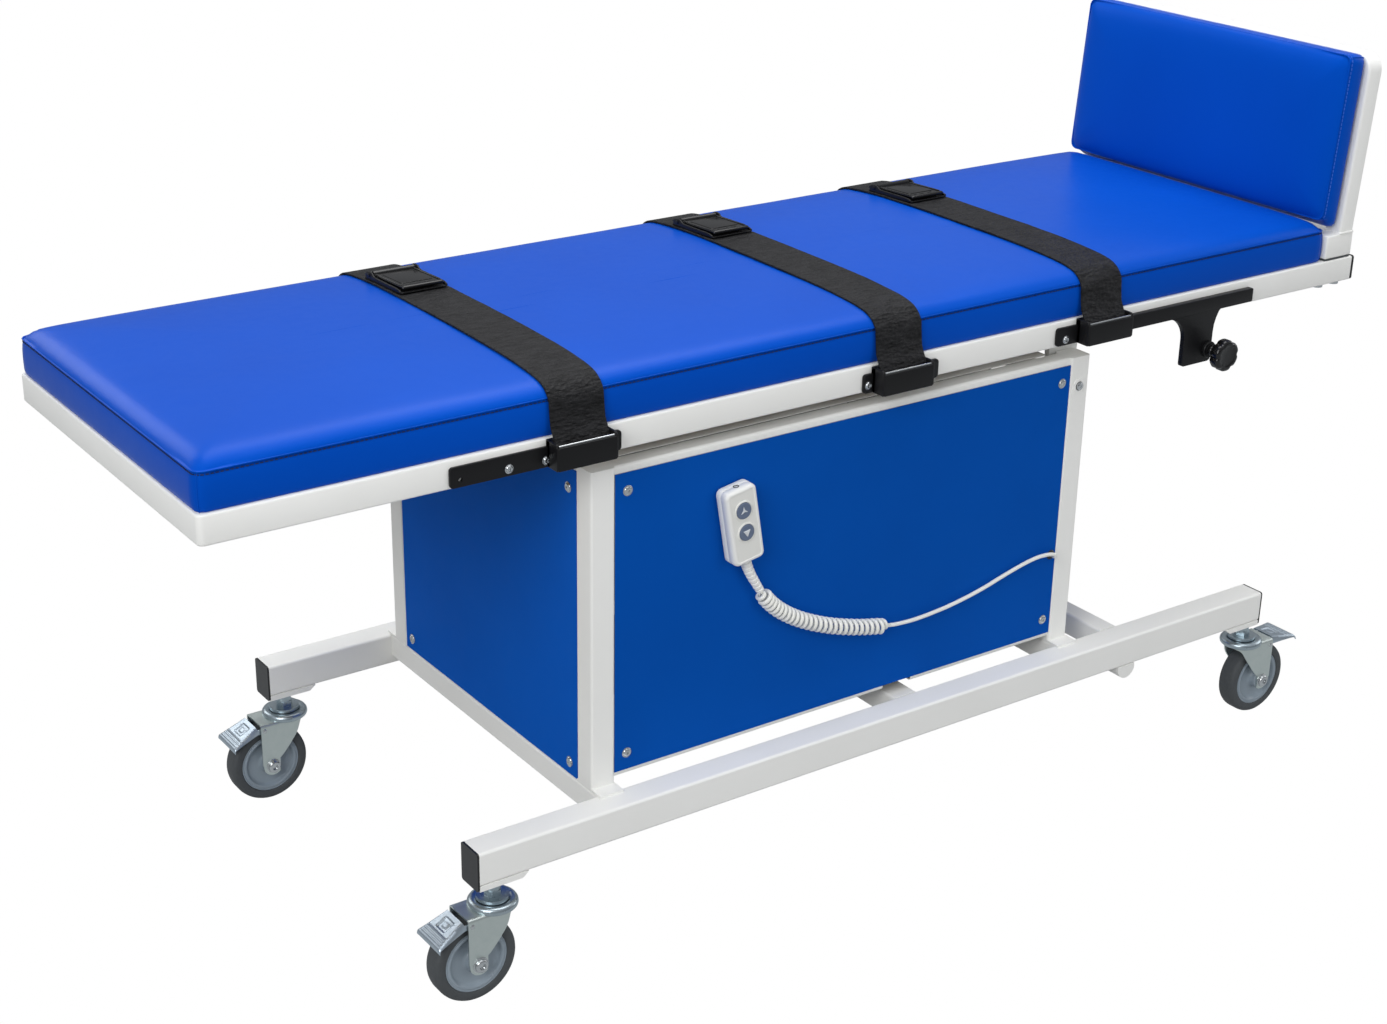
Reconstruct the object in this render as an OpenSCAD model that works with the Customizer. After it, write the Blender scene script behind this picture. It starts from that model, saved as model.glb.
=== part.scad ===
// Tilt table for physiotherapy: a padded platform on a pivot, carried by a box on a castored base.
// Millimetres. X runs along the length from head end to foot end, Y across it, Z up from the floor.

/* [Platform] */
// Length of the platform's side tubes
platform_l = 2008; // [1960:4:2060]
// Width of the platform over its side tubes
platform_w = 592; // [560:4:596]
// Height of the platform's underside above the floor
deck_z = 732; // [716:2:752]
// Side of the platform's square tubes
platform_tube = 40; // [36:1:44]
// How far the platform reaches past the box at the head end
head_reach = 544; // [520:4:568]

/* [Mattress] */
// Height of the mattress at its middle
mattress_h = 77; // [66:1:86]
// Width of the holding straps
strap_w = 82; // [70:2:90]

/* [Base] */
// Length of the two side rails
rail_l = 1494; // [1460:2:1530]
// Clear width between the side rails
rail_gap = 600; // [600:2:612]
// Length of the box on the base
box_l = 892; // [872:2:912]
// Width of the box over its posts
box_w = 576; // [560:2:580]
// Side of the box's posts
post_w = 38; // [34:1:42]

/* [Casters] */
// Diameter of the wheels
wheel_d = 125; // [115:1:130]
// Width of the tread
tread_w = 32; // [26:1:34]

/* [Footboard] */
// Height of the leaning frame above its base tube
footboard_h = 286; // [250:2:310]
// Angle by which the footboard leans outwards
footboard_lean = 4.5; // [3:0.5:6]

/* [Handset] */
// Length of the handset's case
handset_l = 115; // [105:1:125]
// Width of the handset's case
handset_w = 52; // [48:1:58]
// Turns of the curly cord
coil_turns = 28; // [24:1:30]

/* [Hidden] */
// one overrun for every cut
cut = 1;
// clearance between pieces that stand apart
air = 0.3;
// radial running fit of a pin in its bore
run_fit = 0.05;
// corner radius and wall of the square tubes
tube_r = 4;
tube_t = 2.5;
// smoothness of small and large rounds
fine = 48;
round_n = 24;
small_n = 16;

// platform, seen from the box's head face at x = 0
plat_x0 = -head_reach;
plat_x1 = plat_x0 + platform_l;
plat_half = platform_w / 2;
deck_top = deck_z + platform_tube;
// rails
rail_w = 44;
rail_h = 50;
rail_pad = 8;
rail_x0 = -210;
rail_x1 = rail_x0 + rail_l;
rail_y = rail_gap / 2 + rail_w / 2;
rail_z = 180;
rail_top = rail_z + rail_h;
// cross tubes between the rails
cross_h = 38;
cross_w = 38;
drive_x = 530;
drive_w = 43;
outer_x = 956;
outer_w = 35;
// box
top_gap = 27;
box_top = deck_z - top_gap;
box_half = box_w / 2;
foot_plate = 4;
post_foot = rail_top + foot_plate;
panel_t = 2;
panel_set = 1;
// pivot of the platform, in the posts at the foot end
pivot_x = box_l - post_w / 2;
pivot_drop = 74;
pivot_z = deck_z - pivot_drop;
// middle of the whole length, where the object's frame has its origin
foot_tube_w = 62;
foot_tube_h = 39;
foot_tube_in = 68;
frame_over = 1;
foot_tube_x = plat_x1 - foot_tube_in;
foot_pad = 3;
frame_root_x = foot_tube_x + foot_tube_w - frame_over;
frame_root_z = deck_top + foot_pad + foot_tube_h;
tip_x = frame_root_x + footboard_h * sin(footboard_lean);
mid_x = (plat_x0 + tip_x) / 2;

module rounded(w, h, r, n = small_n) {
    // rectangle with round corners, its middle at the origin
    square([w - 2 * r, h], center = true);
    square([w, h - 2 * r], center = true);
    for (sx = [-1, 1], sy = [-1, 1])
        translate([sx * (w / 2 - r), sy * (h / 2 - r)])
            circle(r = r, $fn = n);
}

module tube_outline(w, h, r = tube_r, t = tube_t) {
    difference() {
        rounded(w, h, r);
        rounded(w - 2 * t, h - 2 * t, r - t);
    }
}

module along_x(l) {
    // runs from x = 0 to l, the outline's first side along Y
    rotate([90, 0, 90]) linear_extrude(l) children();
}

module along_y(l) {
    // runs from y = 0 to l, the outline's first side along X
    translate([0, l, 0]) rotate([90, 0, 0]) linear_extrude(l) children();
}

module across(l) {
    // runs from y = -l / 2 to l / 2
    translate([0, -l / 2, 0]) along_y(l) children();
}

module both_sides() {
    children();
    mirror([0, 1, 0]) children();
}

module placed() {
    // from the box's head face to the middle of the length
    translate([-mid_x, 0, 0]) children();
}

// base frame
cap_t = 3;
plug_l = 4;
plug_gap = 0.1;
caster_in = 31;
foot_caster_in = 11;
pad_l = 66;
pad_rise = 10;
lug_w = 36;
lug_drop = 22;
lug_x = 960;
stem_r = 6;

module rail() {
    difference() {
        translate([rail_x0, 0, rail_z + rail_h / 2]) along_x(rail_l) tube_outline(rail_w, rail_h);
        for (x = [rail_x0 + caster_in, rail_x1 - foot_caster_in])
            translate([x, 0, rail_z - cut])
                cylinder(r = stem_r + run_fit, h = tube_t + 2 * cut, $fn = round_n);
    }
}

module rail_pad_block(x, dir, hole) {
    // thicker foot of the rail over the caster
    difference() {
        translate([x, rail_w / 2, rail_z])
            rotate([90, 0, 0])
                linear_extrude(rail_w)
                    polygon([[0, 0], [dir * (pad_l + pad_rise), 0], [dir * pad_l, -rail_pad], [0,
                        -rail_pad]]);
        translate([x + dir * hole, 0, rail_z - rail_pad - cut])
            cylinder(r = stem_r + run_fit, h = rail_pad + 2 * cut, $fn = round_n);
    }
}

module side_rails() {
    color("#ddddda")
        placed() both_sides() translate([0, rail_y, 0]) {
            rail();
            rail_pad_block(rail_x0, 1, caster_in);
            rail_pad_block(rail_x1, -1, foot_caster_in);
            // lug under the outer cross tube
            translate([lug_x + lug_w / 2, rail_w / 2, rail_z - lug_drop + lug_w / 2])
                rotate([90, 0, 0]) {
                    difference() {
                        cylinder(r = lug_w / 2, h = rail_w, $fn = fine);
                        translate([-lug_w, lug_drop - lug_w / 2, -cut])
                            cube([2 * lug_w, 2 * lug_w, rail_w + 2 * cut]);
                    }
                }
        }
}

module rail_cap() {
    rotate([0, -90, 0]) linear_extrude(cap_t)
        translate([rail_h / 2 - rail_pad / 2, 0]) rounded(rail_h + rail_pad, rail_w, tube_r);
    translate([0, 0, rail_h / 2]) along_x(plug_l)
        rounded(rail_w - 2 * tube_t - 2 * plug_gap, rail_h - 2 * tube_t - 2 * plug_gap, tube_r - tube_t);
}

module rail_end_caps() {
    color("#222222")
        placed() both_sides() translate([0, rail_y, rail_z]) {
            translate([rail_x0, 0, 0]) rail_cap();
            translate([rail_x1, 0, 0]) mirror([1, 0, 0]) rail_cap();
        }
}

module base_cross_tubes() {
    color("#ddddda")
        placed() {
            for (spot = [[0, cross_w], [box_l - cross_w, cross_w], [outer_x, outer_w], [drive_x, drive_w]])
                translate([spot[0] + spot[1] / 2, 0, rail_top - cross_h / 2])
                    across(rail_gap) tube_outline(spot[1], cross_h);
            // saddle under the drive's lower pin
            for (s = [-1, 1])
                translate([ram_foot_x, s * saddle_y, 0]) saddle_plate();
        }
}

// ---- box
ear_r = 26;
ear_t = 10;
ear_y = 238;
pin_r = 8;
saddle_y = 30;
saddle_t = 5;
saddle_r = 16;
ram_foot_x = drive_x + drive_w / 2;
ram_pin_up = 46;
ram_foot_z = rail_top + ram_pin_up;
ram_pin_r = 7;

module saddle_plate() {
    difference() {
        translate([-drive_w / 2, -saddle_t / 2, rail_top])
            cube([drive_w, saddle_t, ram_foot_z - rail_top + saddle_r]);
        translate([0, -saddle_t / 2 - cut, ram_foot_z])
            rotate([-90, 0, 0]) cylinder(r = ram_pin_r + run_fit, h = saddle_t + 2 * cut, $fn = fine);
    }
}

module post() {
    translate([post_w / 2, 0, post_foot])
        linear_extrude(box_top - post_foot - cap_t) tube_outline(post_w, post_w);
    translate([post_w / 2, 0, box_top - cap_t])
        linear_extrude(cap_t) rounded(post_w, post_w, tube_r);
}

module box_posts() {
    bridge_w = rail_gap / 2 - box_half + post_w + rail_w / 4;
    color("#ddddda")
        placed() both_sides() {
            for (x = [0, box_l - post_w])
                difference() {
                    union() {
                        translate([x, box_half - post_w / 2, 0]) post();
                        translate([x, box_half - post_w, rail_top])
                            cube([post_w, bridge_w, foot_plate]);
                    }
                    if (x > 0)
                        translate([pivot_x, box_half - post_w - cut, pivot_z])
                            rotate([-90, 0, 0])
                                cylinder(r = bush_r, h = post_w + 2 * cut, $fn = fine);
                }
        }
}

bar_h = 38;
bar_d = 30;
sill_h = 22;
sill_d = 18;
sill_up = 11;
sill_z = rail_top + sill_up;
notch_x0 = 519;
notch_x1 = 573;
panel_down = 11;
panel_lap = 8;
panel_top = box_top - panel_down;
panel_foot = sill_z + panel_lap;
foot_bar_z = 580;
end_sill_z = 236;

module box_crossbars() {
    face = panel_set + panel_t;
    color("#ddddda")
        placed() {
            both_sides() {
                translate([post_w, box_half - face - bar_d / 2, box_top - bar_h / 2])
                    along_x(box_l - 2 * post_w) tube_outline(bar_d, bar_h);
                translate([post_w, box_half - face - sill_d / 2, sill_z + sill_h / 2])
                    along_x(notch_x0 - post_w) tube_outline(sill_d, sill_h, tube_r, tube_t / 2);
                translate([notch_x1, box_half - face - sill_d / 2, sill_z + sill_h / 2])
                    along_x(box_l - post_w - notch_x1) tube_outline(sill_d, sill_h, tube_r, tube_t / 2);
            }
            // head end bars
            translate([face + bar_d / 2, 0, box_top - bar_h / 2])
                across(box_w - 2 * post_w) tube_outline(bar_d, bar_h);
            translate([face + sill_d / 2, 0, end_sill_z + sill_h / 2])
                across(box_w - 2 * post_w) tube_outline(sill_d, sill_h, tube_r, tube_t / 2);
            // foot end bars, the upper one clear of the pivot arms
            translate([box_l - face - bar_d / 2, 0, foot_bar_z + bar_h / 2])
                across(box_w - 2 * post_w) tube_outline(bar_d, bar_h);
            translate([box_l - face - sill_d / 2, 0, end_sill_z + sill_h / 2])
                across(box_w - 2 * post_w) tube_outline(sill_d, sill_h, tube_r, tube_t / 2);
        }
}

screw_in = 20;
foot_screw_in = 16;
screw_up = 26;
end_screw_up = 20;
end_screw_down = 28;
screw_hole = 2.6;
side_screws = [for (x = [post_w + screw_in, box_l - post_w - foot_screw_in],
    z = [panel_foot + screw_up, panel_top - screw_up]) [x, z]];
end_screw_y = 230;
cord_hole_in = 5;
cord_hole_x = box_l - post_w - cord_hole_in;
cord_hole_z = 385;
cord_hole_r = 4.5;
inlet_from_foot = 192;
inlet_x = box_l - inlet_from_foot;
inlet_z = 330;
inlet_w = 50;
inlet_h = 30;
rack_x = 223;
rack_down = 115;
rack_z = box_top - rack_down;

module side_panel() {
    translate([post_w + air, 0, panel_foot])
        cube([box_l - 2 * post_w - 2 * air, panel_t, panel_top - panel_foot]);
}

module screwed_panel() {
    // panel of the front side with the holes of its screws
    difference() {
        translate([0, -box_half + panel_set, 0]) side_panel();
        for (p = side_screws)
            translate([p[0], -box_half - cut, p[1]])
                rotate([-90, 0, 0]) cylinder(r = screw_hole, h = panel_set + panel_t + 2 * cut,
                    $fn = small_n);
        children();
    }
}

module side_panels() {
    color("#043c91") placed() {
        screwed_panel()
            translate([cord_hole_x - cord_hole_r, -box_half - cut, cord_hole_z])
                rotate([-90, 0, 0]) cylinder(r = cord_hole_r, h = panel_set + panel_t + 2 * cut,
                    $fn = round_n);
        mirror([0, 1, 0]) screwed_panel()
            translate([inlet_x, -box_half - panel_set, inlet_z])
                cube([inlet_w + 2 * air, panel_t + 3 * panel_set, inlet_h + 2 * air]);
    }
}

end_panel_up = 2;

module end_panel(x, top) {
    span = box_w - 2 * post_w - 2 * air;
    difference() {
        translate([x, -span / 2, rail_top + end_panel_up]) cube([panel_t, span,
            top - rail_top - end_panel_up]);
        for (s = [-1, 1], z = [rail_top + end_screw_up, top - end_screw_down])
            translate([x - cut, s * end_screw_y, z])
                rotate([0, 90, 0]) cylinder(r = screw_hole, h = panel_t + 2 * cut, $fn = small_n);
    }
}

foot_panel_top = foot_bar_z + bar_h;

module end_panels() {
    color("#0b4aab")
        placed() {
            end_panel(panel_set, panel_top);
            end_panel(box_l - panel_set - panel_t, foot_panel_top);
        }
}

screw_head_r = 6.5;
screw_head_h = 3;
screw_shank_r = 2.5;
screw_key = 1.8;

module screw() {
    // points along +Z with its head above z = 0
    difference() {
        union() {
            cylinder(r = screw_head_r, h = screw_head_h / 2, $fn = round_n);
            translate([0, 0, screw_head_h / 2])
                cylinder(r1 = screw_head_r - screw_head_h / 4, r2 = screw_head_r / 2,
                    h = screw_head_h / 2, $fn = round_n);
        }
        translate([0, 0, screw_head_h / 2]) cylinder(r = screw_key, h = screw_head_h, $fn = 6);
    }
}

module screw_with_shank(l) {
    screw();
    translate([0, 0, -l]) cylinder(r = screw_shank_r, h = l, $fn = small_n);
}

module panel_screws() {
    color("#b9bfc4")
        placed() {
            both_sides()
                for (p = side_screws)
                    translate([p[0], -box_half + panel_set, p[1]])
                        rotate([90, 0, 0]) screw_with_shank(panel_t);
            for (s = [-1, 1], z = [rail_top + end_screw_up, panel_top - end_screw_down])
                translate([panel_set, s * end_screw_y, z])
                    rotate([0, -90, 0]) screw_with_shank(panel_t);
            for (s = [-1, 1], z = [rail_top + end_screw_up, foot_panel_top - end_screw_down])
                translate([box_l - panel_set, s * end_screw_y, z])
                    rotate([0, 90, 0]) screw_with_shank(panel_t);
            // screws at the ends of the pivot pins
            both_sides()
                translate([pivot_x, -box_half - bush_flange, pivot_z])
                    rotate([90, 0, 0]) screw();
        }
}

bush_r = 12;
bush_flange = 1;
pin_past = 2;

module pivot_bushes() {
    // pin of each side, its bush filling the post
    color("#9aa0a6")
        placed() both_sides() translate([pivot_x, 0, pivot_z]) rotate([90, 0, 0]) {
            translate([0, 0, box_half - post_w])
                cylinder(r = bush_r - run_fit, h = post_w + bush_flange, $fn = fine);
            translate([0, 0, ear_y - pin_past]) cylinder(r = pin_r,
                h = box_half - post_w - ear_y + pin_past, $fn = fine);
        }
}

control_l = 190;
control_d = 120;
control_h = 74;
control_x = 60;

module control_box() {
    // supply and switching for the drive, on the end of the box's floor bars
    color("#3a3d40")
        placed() {
            translate([cross_w / 4, -control_d / 2, rail_top])
                cube([control_x + control_l - cross_w / 4, control_d, foot_plate]);
            translate([control_x + foot_plate, foot_plate - control_d / 2, rail_top + foot_plate])
                cube([control_l - 2 * foot_plate, control_d - 2 * foot_plate, control_h]);
        }
}

module power_inlet() {
    // recessed socket for a supply lead, on the back
    wall = 2;
    depth = 26;
    pole_gap = 8;
    brim = 4;
    color("#1c1c1e")
        placed() translate([inlet_x + air, box_half - panel_set, inlet_z + air]) {
            difference() {
                translate([0, -depth, 0]) cube([inlet_w, depth, inlet_h]);
                translate([wall, -depth + wall, wall])
                    cube([inlet_w - 2 * wall, depth + cut, inlet_h - 2 * wall]);
            }
            difference() {
                translate([-brim, 0, -brim]) cube([inlet_w + 2 * brim, wall / 2, inlet_h + 2 * brim]);
                translate([wall, -cut, wall]) cube([inlet_w - 2 * wall, wall + 2 * cut, inlet_h - 2 * wall]);
            }
            for (k = [-1, 0, 1])
                translate([inlet_w / 2 + k * pole_gap, -depth + wall, inlet_h / 2 - abs(k) * wall])
                    cube([wall, depth / 2, 2 * wall]);
        }
}

hook_w = 30;
hook_t = 2;
hook_h = 40;

module handset_hook() {
    // flat hanger plate on the panel behind the handset
    color("#c9cccc")
        placed() translate([rack_x - hook_w / 2, -box_half + panel_set - hook_t, rack_z])
            difference() {
                cube([hook_w, hook_t, hook_h]);
                translate([hook_w / 2, -cut, hook_h - hook_w / 4])
                    rotate([-90, 0, 0]) cylinder(r = screw_hole, h = hook_t + 2 * cut, $fn = small_n);
            }
}

// casters: swivel axis at the origin, pedal and trail towards -X
trail = 35;
wheel_r = wheel_d / 2;
axle_r = 6;
washer_r = 9.6;
axle_head_r = 8.1;
fork_in = 23.5;
fork_t = 2.5;
fork_out = fork_in + fork_t;
fork_gap = 8.5;
fork_z = wheel_d + fork_gap;
fork_back = -52;
fork_nose = 18;
fork_back_low = 8;
nose_h = 9;
nose_in = 2;
// front edge of the fork's sides, from the nose down to the axle
edge_x = [10, 0, -10, -23];
edge_z = [50, 36, 24, 10];
fork_end_r = 16;
race_r = 33;
race_h = 8;
race_top = fork_z + fork_t + race_h;
rivet_x = -46;
rivet_up = 1;
rivet_z = wheel_d + rivet_up;
rivet_r = 2.5;
rivet_head = 1;
head_flange_r = 9;
hub_r = 47;
hub_half = 23;
boss_r0 = 14.4;
boss_r1 = 15.6;
dish_half = 9.6;
rim_in = 8;
rim_t = 5;
seat = 1;
shoulder = 4;

caster_spots = [[rail_x0 + caster_in, -rail_y, 0], [rail_x0 + caster_in, rail_y, 0],
    [rail_x1 - foot_caster_in, -rail_y, 180], [rail_x1 - foot_caster_in, rail_y, 180]];

module at_caster(i) {
    p = caster_spots[i];
    placed() translate([p[0], p[1], 0]) rotate([0, 0, p[2]]) children();
}

module fork_side_outline() {
    polygon(concat(
        [[fork_back, fork_z + fork_t], [fork_nose, fork_z + fork_t], [fork_nose - nose_in, fork_z - nose_h]],
        [for (i = [0 : len(edge_x) - 1]) [edge_x[i], wheel_r + edge_z[i]]],
        [[-trail, wheel_r], [-trail - fork_end_r, wheel_r], [fork_back, wheel_r + fork_back_low]]));
    translate([-trail, wheel_r]) circle(r = fork_end_r, $fn = fine);
}

module caster_fork() {
    difference() {
        union() {
            // top plate with the raised race
            translate([0, 0, fork_z]) linear_extrude(fork_t) {
                circle(r = race_r, $fn = fine);
                translate([fork_back, -fork_out]) square([-fork_back, 2 * fork_out]);
            }
            rotate_extrude($fn = fine)
                polygon([[0, fork_z], [race_r, fork_z], [race_r, fork_z + fork_t + race_h / 3],
                    [race_r - race_h / 4, race_top - race_h / 4], [race_r - race_h, race_top], [0,
                        race_top]]);
            for (s = [-1, 1])
                translate([0, s * (fork_in + fork_t / 2) + fork_t / 2, 0])
                    rotate([90, 0, 0]) linear_extrude(fork_t) fork_side_outline();
            // axle with its flat heads
            translate([-trail, 0, wheel_r]) rotate([90, 0, 0]) {
                cylinder(r = axle_r, h = 2 * fork_out, center = true, $fn = fine);
                for (s = [0, 180]) rotate([s, 0, 0]) translate([0, 0, fork_out]) {
                    cylinder(r = washer_r, h = fork_t / 2, $fn = round_n);
                    translate([0, 0, fork_t / 2])
                        cylinder(r1 = axle_head_r, r2 = axle_r, h = fork_t, $fn = round_n);
                }
            }
            // rivet that carries the pedal
            for (s = [0, 180])
                translate([rivet_x, 0, rivet_z]) rotate([90 + s, 0, 0]) translate([0, 0, tread_w / 2 + air])
                    cylinder(r = rivet_r, h = fork_out + rivet_head - tread_w / 2 - air, $fn = round_n);
        }
        translate([0, 0, fork_z - cut])
            cylinder(r = stem_r + run_fit, h = race_top - fork_z + 2 * cut, $fn = fine);
        translate([-trail, 0, wheel_r]) rotate([90, 0, 0])
            for (s = [0, 180]) rotate([s, 0, 0])
                translate([0, 0, fork_out + fork_t / 2]) cylinder(r = axle_r / 2, h = 2 * fork_t, $fn = 6);
    }
}

module caster_hub() {
    w = tread_w / 2;
    translate([-trail, 0, wheel_r]) rotate([90, 0, 0]) rotate_extrude($fn = fine)
        polygon(concat(
            [[axle_r + run_fit, -hub_half], [boss_r0, -hub_half], [boss_r1, -dish_half],
            [hub_r - rim_in, -dish_half], [hub_r - rim_t, -w + seat], [hub_r, -w + seat]],
            [[hub_r, w - seat], [hub_r - rim_t, w - seat], [hub_r - rim_in, dish_half], [boss_r1, dish_half],
            [boss_r0, hub_half], [axle_r + run_fit, hub_half]]));
}

module caster_tyre() {
    w = tread_w / 2;
    translate([-trail, 0, wheel_r]) rotate([90, 0, 0]) rotate_extrude($fn = fine)
        polygon([[hub_r, -w + seat], [hub_r + seat, -w], [wheel_r - shoulder, -w],
            [wheel_r - shoulder / 4, -w + shoulder], [wheel_r, -w + 2 * shoulder], [wheel_r,
                w - 2 * shoulder],
            [wheel_r - shoulder / 4, w - shoulder], [wheel_r - shoulder, w], [hub_r + seat, w], [hub_r,
                w - seat]]);
}

pedal_l = 54;
pedal_in = 6;
pedal_z = 10;
pedal_t = 2;
pedal_w0 = 24;
pedal_w1 = 31;
arm_y = 19;
arm_t = 3;
arm_l = 24;
arm_r = 5;
pedal_lip_r = 3;
ridge_shares = [0.66, 0.8];
shoe_x = 22;
shoe_l = 12;
shoe_half = 14;
shoe_z = 3;
window_x = 28;
window_l = 14;
window_half = 9;
pressed = 28;
released = 6;

module caster_pedal(slope) {
    translate([rivet_x, 0, rivet_z]) rotate([0, -slope, 0]) difference() {
        union() {
            translate([0, 0, pedal_z]) linear_extrude(pedal_t)
                polygon([[-pedal_in, -pedal_w0], [-pedal_in, pedal_w0], [-pedal_l, pedal_w1], [-pedal_l,
                    -pedal_w1]]);
            translate([-pedal_l, 0, pedal_z]) rotate([90, 0, 0])
                cylinder(r = pedal_lip_r, h = 2 * pedal_w1, center = true, $fn = round_n);
            // two ridges for the sole
            for (k = ridge_shares)
                translate([-pedal_l * k, 0, pedal_z + pedal_t]) rotate([90, 0, 0])
                    cylinder(r = pedal_t / 2, h = 2 * pedal_w0, center = true, $fn = small_n);
            for (s = [-1, 1])
                translate([0, s * (arm_y + arm_t / 2) + arm_t / 2, 0]) rotate([90, 0,
                    0]) linear_extrude(arm_t) {
                    polygon([[-arm_l, pedal_z + cut], [-arm_r - nose_in, pedal_z + cut], [-arm_r, arm_r],
                        [arm_r, arm_r],
                        [arm_r, -arm_r], [-arm_r, -arm_r], [-arm_l, arm_r + seat]]);
                    circle(r = arm_r, $fn = round_n);
                }
            // brake shoe over the tread
            translate([-shoe_x, -shoe_half, shoe_z]) cube([shoe_l, 2 * shoe_half, pedal_z - shoe_z]);
        }
        rotate([90, 0, 0]) cylinder(r = rivet_r + run_fit, h = 2 * arm_y + 4 * arm_t, center = true,
            $fn = fine);
        translate([-window_x, -window_half, pedal_z + pedal_t / 2]) cube([window_l, 2 * window_half,
            pedal_t]);
    }
}

module front_head_fork() { color("#a9b5b4") at_caster(0) caster_fork(); }
module front_head_hub() { color("#7c8790") at_caster(0) caster_hub(); }
module front_head_tyre() { color("#4a4e50") at_caster(0) caster_tyre(); }
module front_head_pedal() { color("#a9b5b4") at_caster(0) caster_pedal(pressed); }
module back_head_fork() { color("#a9b5b4") at_caster(1) caster_fork(); }
module back_head_hub() { color("#7c8790") at_caster(1) caster_hub(); }
module back_head_tyre() { color("#4a4e50") at_caster(1) caster_tyre(); }
module back_head_pedal() { color("#a9b5b4") at_caster(1) caster_pedal(pressed); }
module front_foot_fork() { color("#a9b5b4") at_caster(2) caster_fork(); }
module front_foot_hub() { color("#7c8790") at_caster(2) caster_hub(); }
module front_foot_tyre() { color("#4a4e50") at_caster(2) caster_tyre(); }
module front_foot_pedal() { color("#a9b5b4") at_caster(2) caster_pedal(released); }
module back_foot_fork() { color("#a9b5b4") at_caster(3) caster_fork(); }
module back_foot_hub() { color("#7c8790") at_caster(3) caster_hub(); }
module back_foot_tyre() { color("#4a4e50") at_caster(3) caster_tyre(); }
module back_foot_pedal() { color("#a9b5b4") at_caster(3) caster_pedal(released); }

stem_head_h = 3;
stem_past = 14;
collar_r = 23;
collar_h = 5;
hex_r = 13;
hex_h = 8;
sleeve_r = 11;
sleeve_z = race_top + air + collar_h + hex_h;
nut_r = 10;
nut_h = 7;

module caster_mounts() {
    // stems, races, nuts and sleeves that stay with the rails
    color("#b4bcc0")
        for (i = [0 : 3]) at_caster(i) {
            translate([0, 0, fork_z - air - stem_head_h])
                cylinder(r = head_flange_r, h = stem_head_h, $fn = round_n);
            translate([0, 0, fork_z - air - cut]) cylinder(r = stem_r, h = rail_z + stem_past - fork_z,
                $fn = fine);
            translate([0, 0, race_top + air]) cylinder(r = collar_r, h = collar_h, $fn = fine);
            translate([0, 0, race_top + air + collar_h]) cylinder(r = hex_r, h = hex_h, $fn = 6);
            translate([0, 0, sleeve_z])
                cylinder(r = sleeve_r, h = rail_z - rail_pad - sleeve_z, $fn = round_n);
            if (i < 2) translate([0, 0, rail_z + tube_t]) cylinder(r = nut_r, h = nut_h, $fn = 6);
        }
}

// handset: its case leans against the hanger plate
case_lean = 10;
case_x = 233;
case_down = 119;
case_z = box_top - case_down;
case_t = 26;
case_r = 9;
case_face = 3;
case_step = 2;
hang_r = 3;
hang_deep = 6;
case_back = box_half - panel_set + hook_t;
up_z = 24;
down_z = -10;
button_r = 12;
button_gap = 0.3;
button_deep = 4;
button_out = 1.5;
rim_w = 2;

module at_case() {
    // Z runs up the case, Y from the case's back towards the user at y = -case_t
    placed() translate([case_x, -case_back, case_z]) rotate([0, -case_lean, 0]) children();
}

module handset_shell() {
    color("#e6e6e2")
        at_case() difference() {
            union() {
                rotate([90, 0, 0])
                    linear_extrude(case_t - case_face) rounded(handset_w, handset_l, case_r, fine);
                translate([0, case_face - case_t, 0]) rotate([90, 0, 0])
                    linear_extrude(case_face)
                        rounded(handset_w - 2 * case_step, handset_l - 2 * case_step, case_r - case_step,
                            fine);
                for (z = [up_z, down_z])
                    translate([0, -case_t, z]) rotate([90, 0, 0])
                        cylinder(r = button_r + rim_w, h = button_out / 2, $fn = fine);
            }
            for (z = [up_z, down_z])
                translate([0, button_deep - case_t, z]) rotate([90, 0, 0])
                    cylinder(r = button_r + button_gap, h = 2 * button_deep, $fn = fine);
            // hanging hole in the top face
            translate([0, -case_t / 2, handset_l / 2 - hang_deep])
                cylinder(r = hang_r, h = 2 * hang_deep, $fn = round_n);
        }
}

module button(z, turn) {
    arrow = 6;
    arrow_out = 1.2;
    at_case() translate([0, -case_t, z]) rotate([90, 0, 0]) {
        translate([0, 0, -button_deep + button_out + air])
            cylinder(r = button_r, h = button_deep, $fn = fine);
        rotate([0, 0, turn]) translate([0, 0, button_out])
            linear_extrude(arrow_out) difference() {
                circle(r = arrow, $fn = 3);
                circle(r = arrow / 2, $fn = 3);
            }
    }
}

module up_button() { color("#66728a") button(up_z, 90); }
module down_button() { color("#66728a") button(down_z, -90); }

// cord: strain relief, curly part, free lead and gland
cord_d = 3.6;
cord_r = cord_d / 2;
coil_r = 10.5;
coil_y = -301;
relief_x = 246;
relief_down = 190;
relief_z = box_top - relief_down;
relief_l = 48;
relief_tilt = 148.4;
relief_r0 = 6;
relief_r1 = 3.4;
relief_core = 1;
relief_tip = 0.6;
relief_cuff = 1;
rib_share = 0.5;
gland_tip_r = 5.6;
gland_back = 4;
lead_run_share = 1.5;
relief_run = relief_l + cord_d;
coil_a = [relief_x + relief_run * sin(relief_tilt), coil_y, relief_z + relief_run * cos(relief_tilt)];
coil_b = [310, coil_y, 411];
coil_c = [417, coil_y, 373];
coil_d = [506, coil_y, 358];
coil_rings = 8;
coil_sides = 6;
lead_sides = 8;
gland_out = 3;
gland_r = 8;

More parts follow.
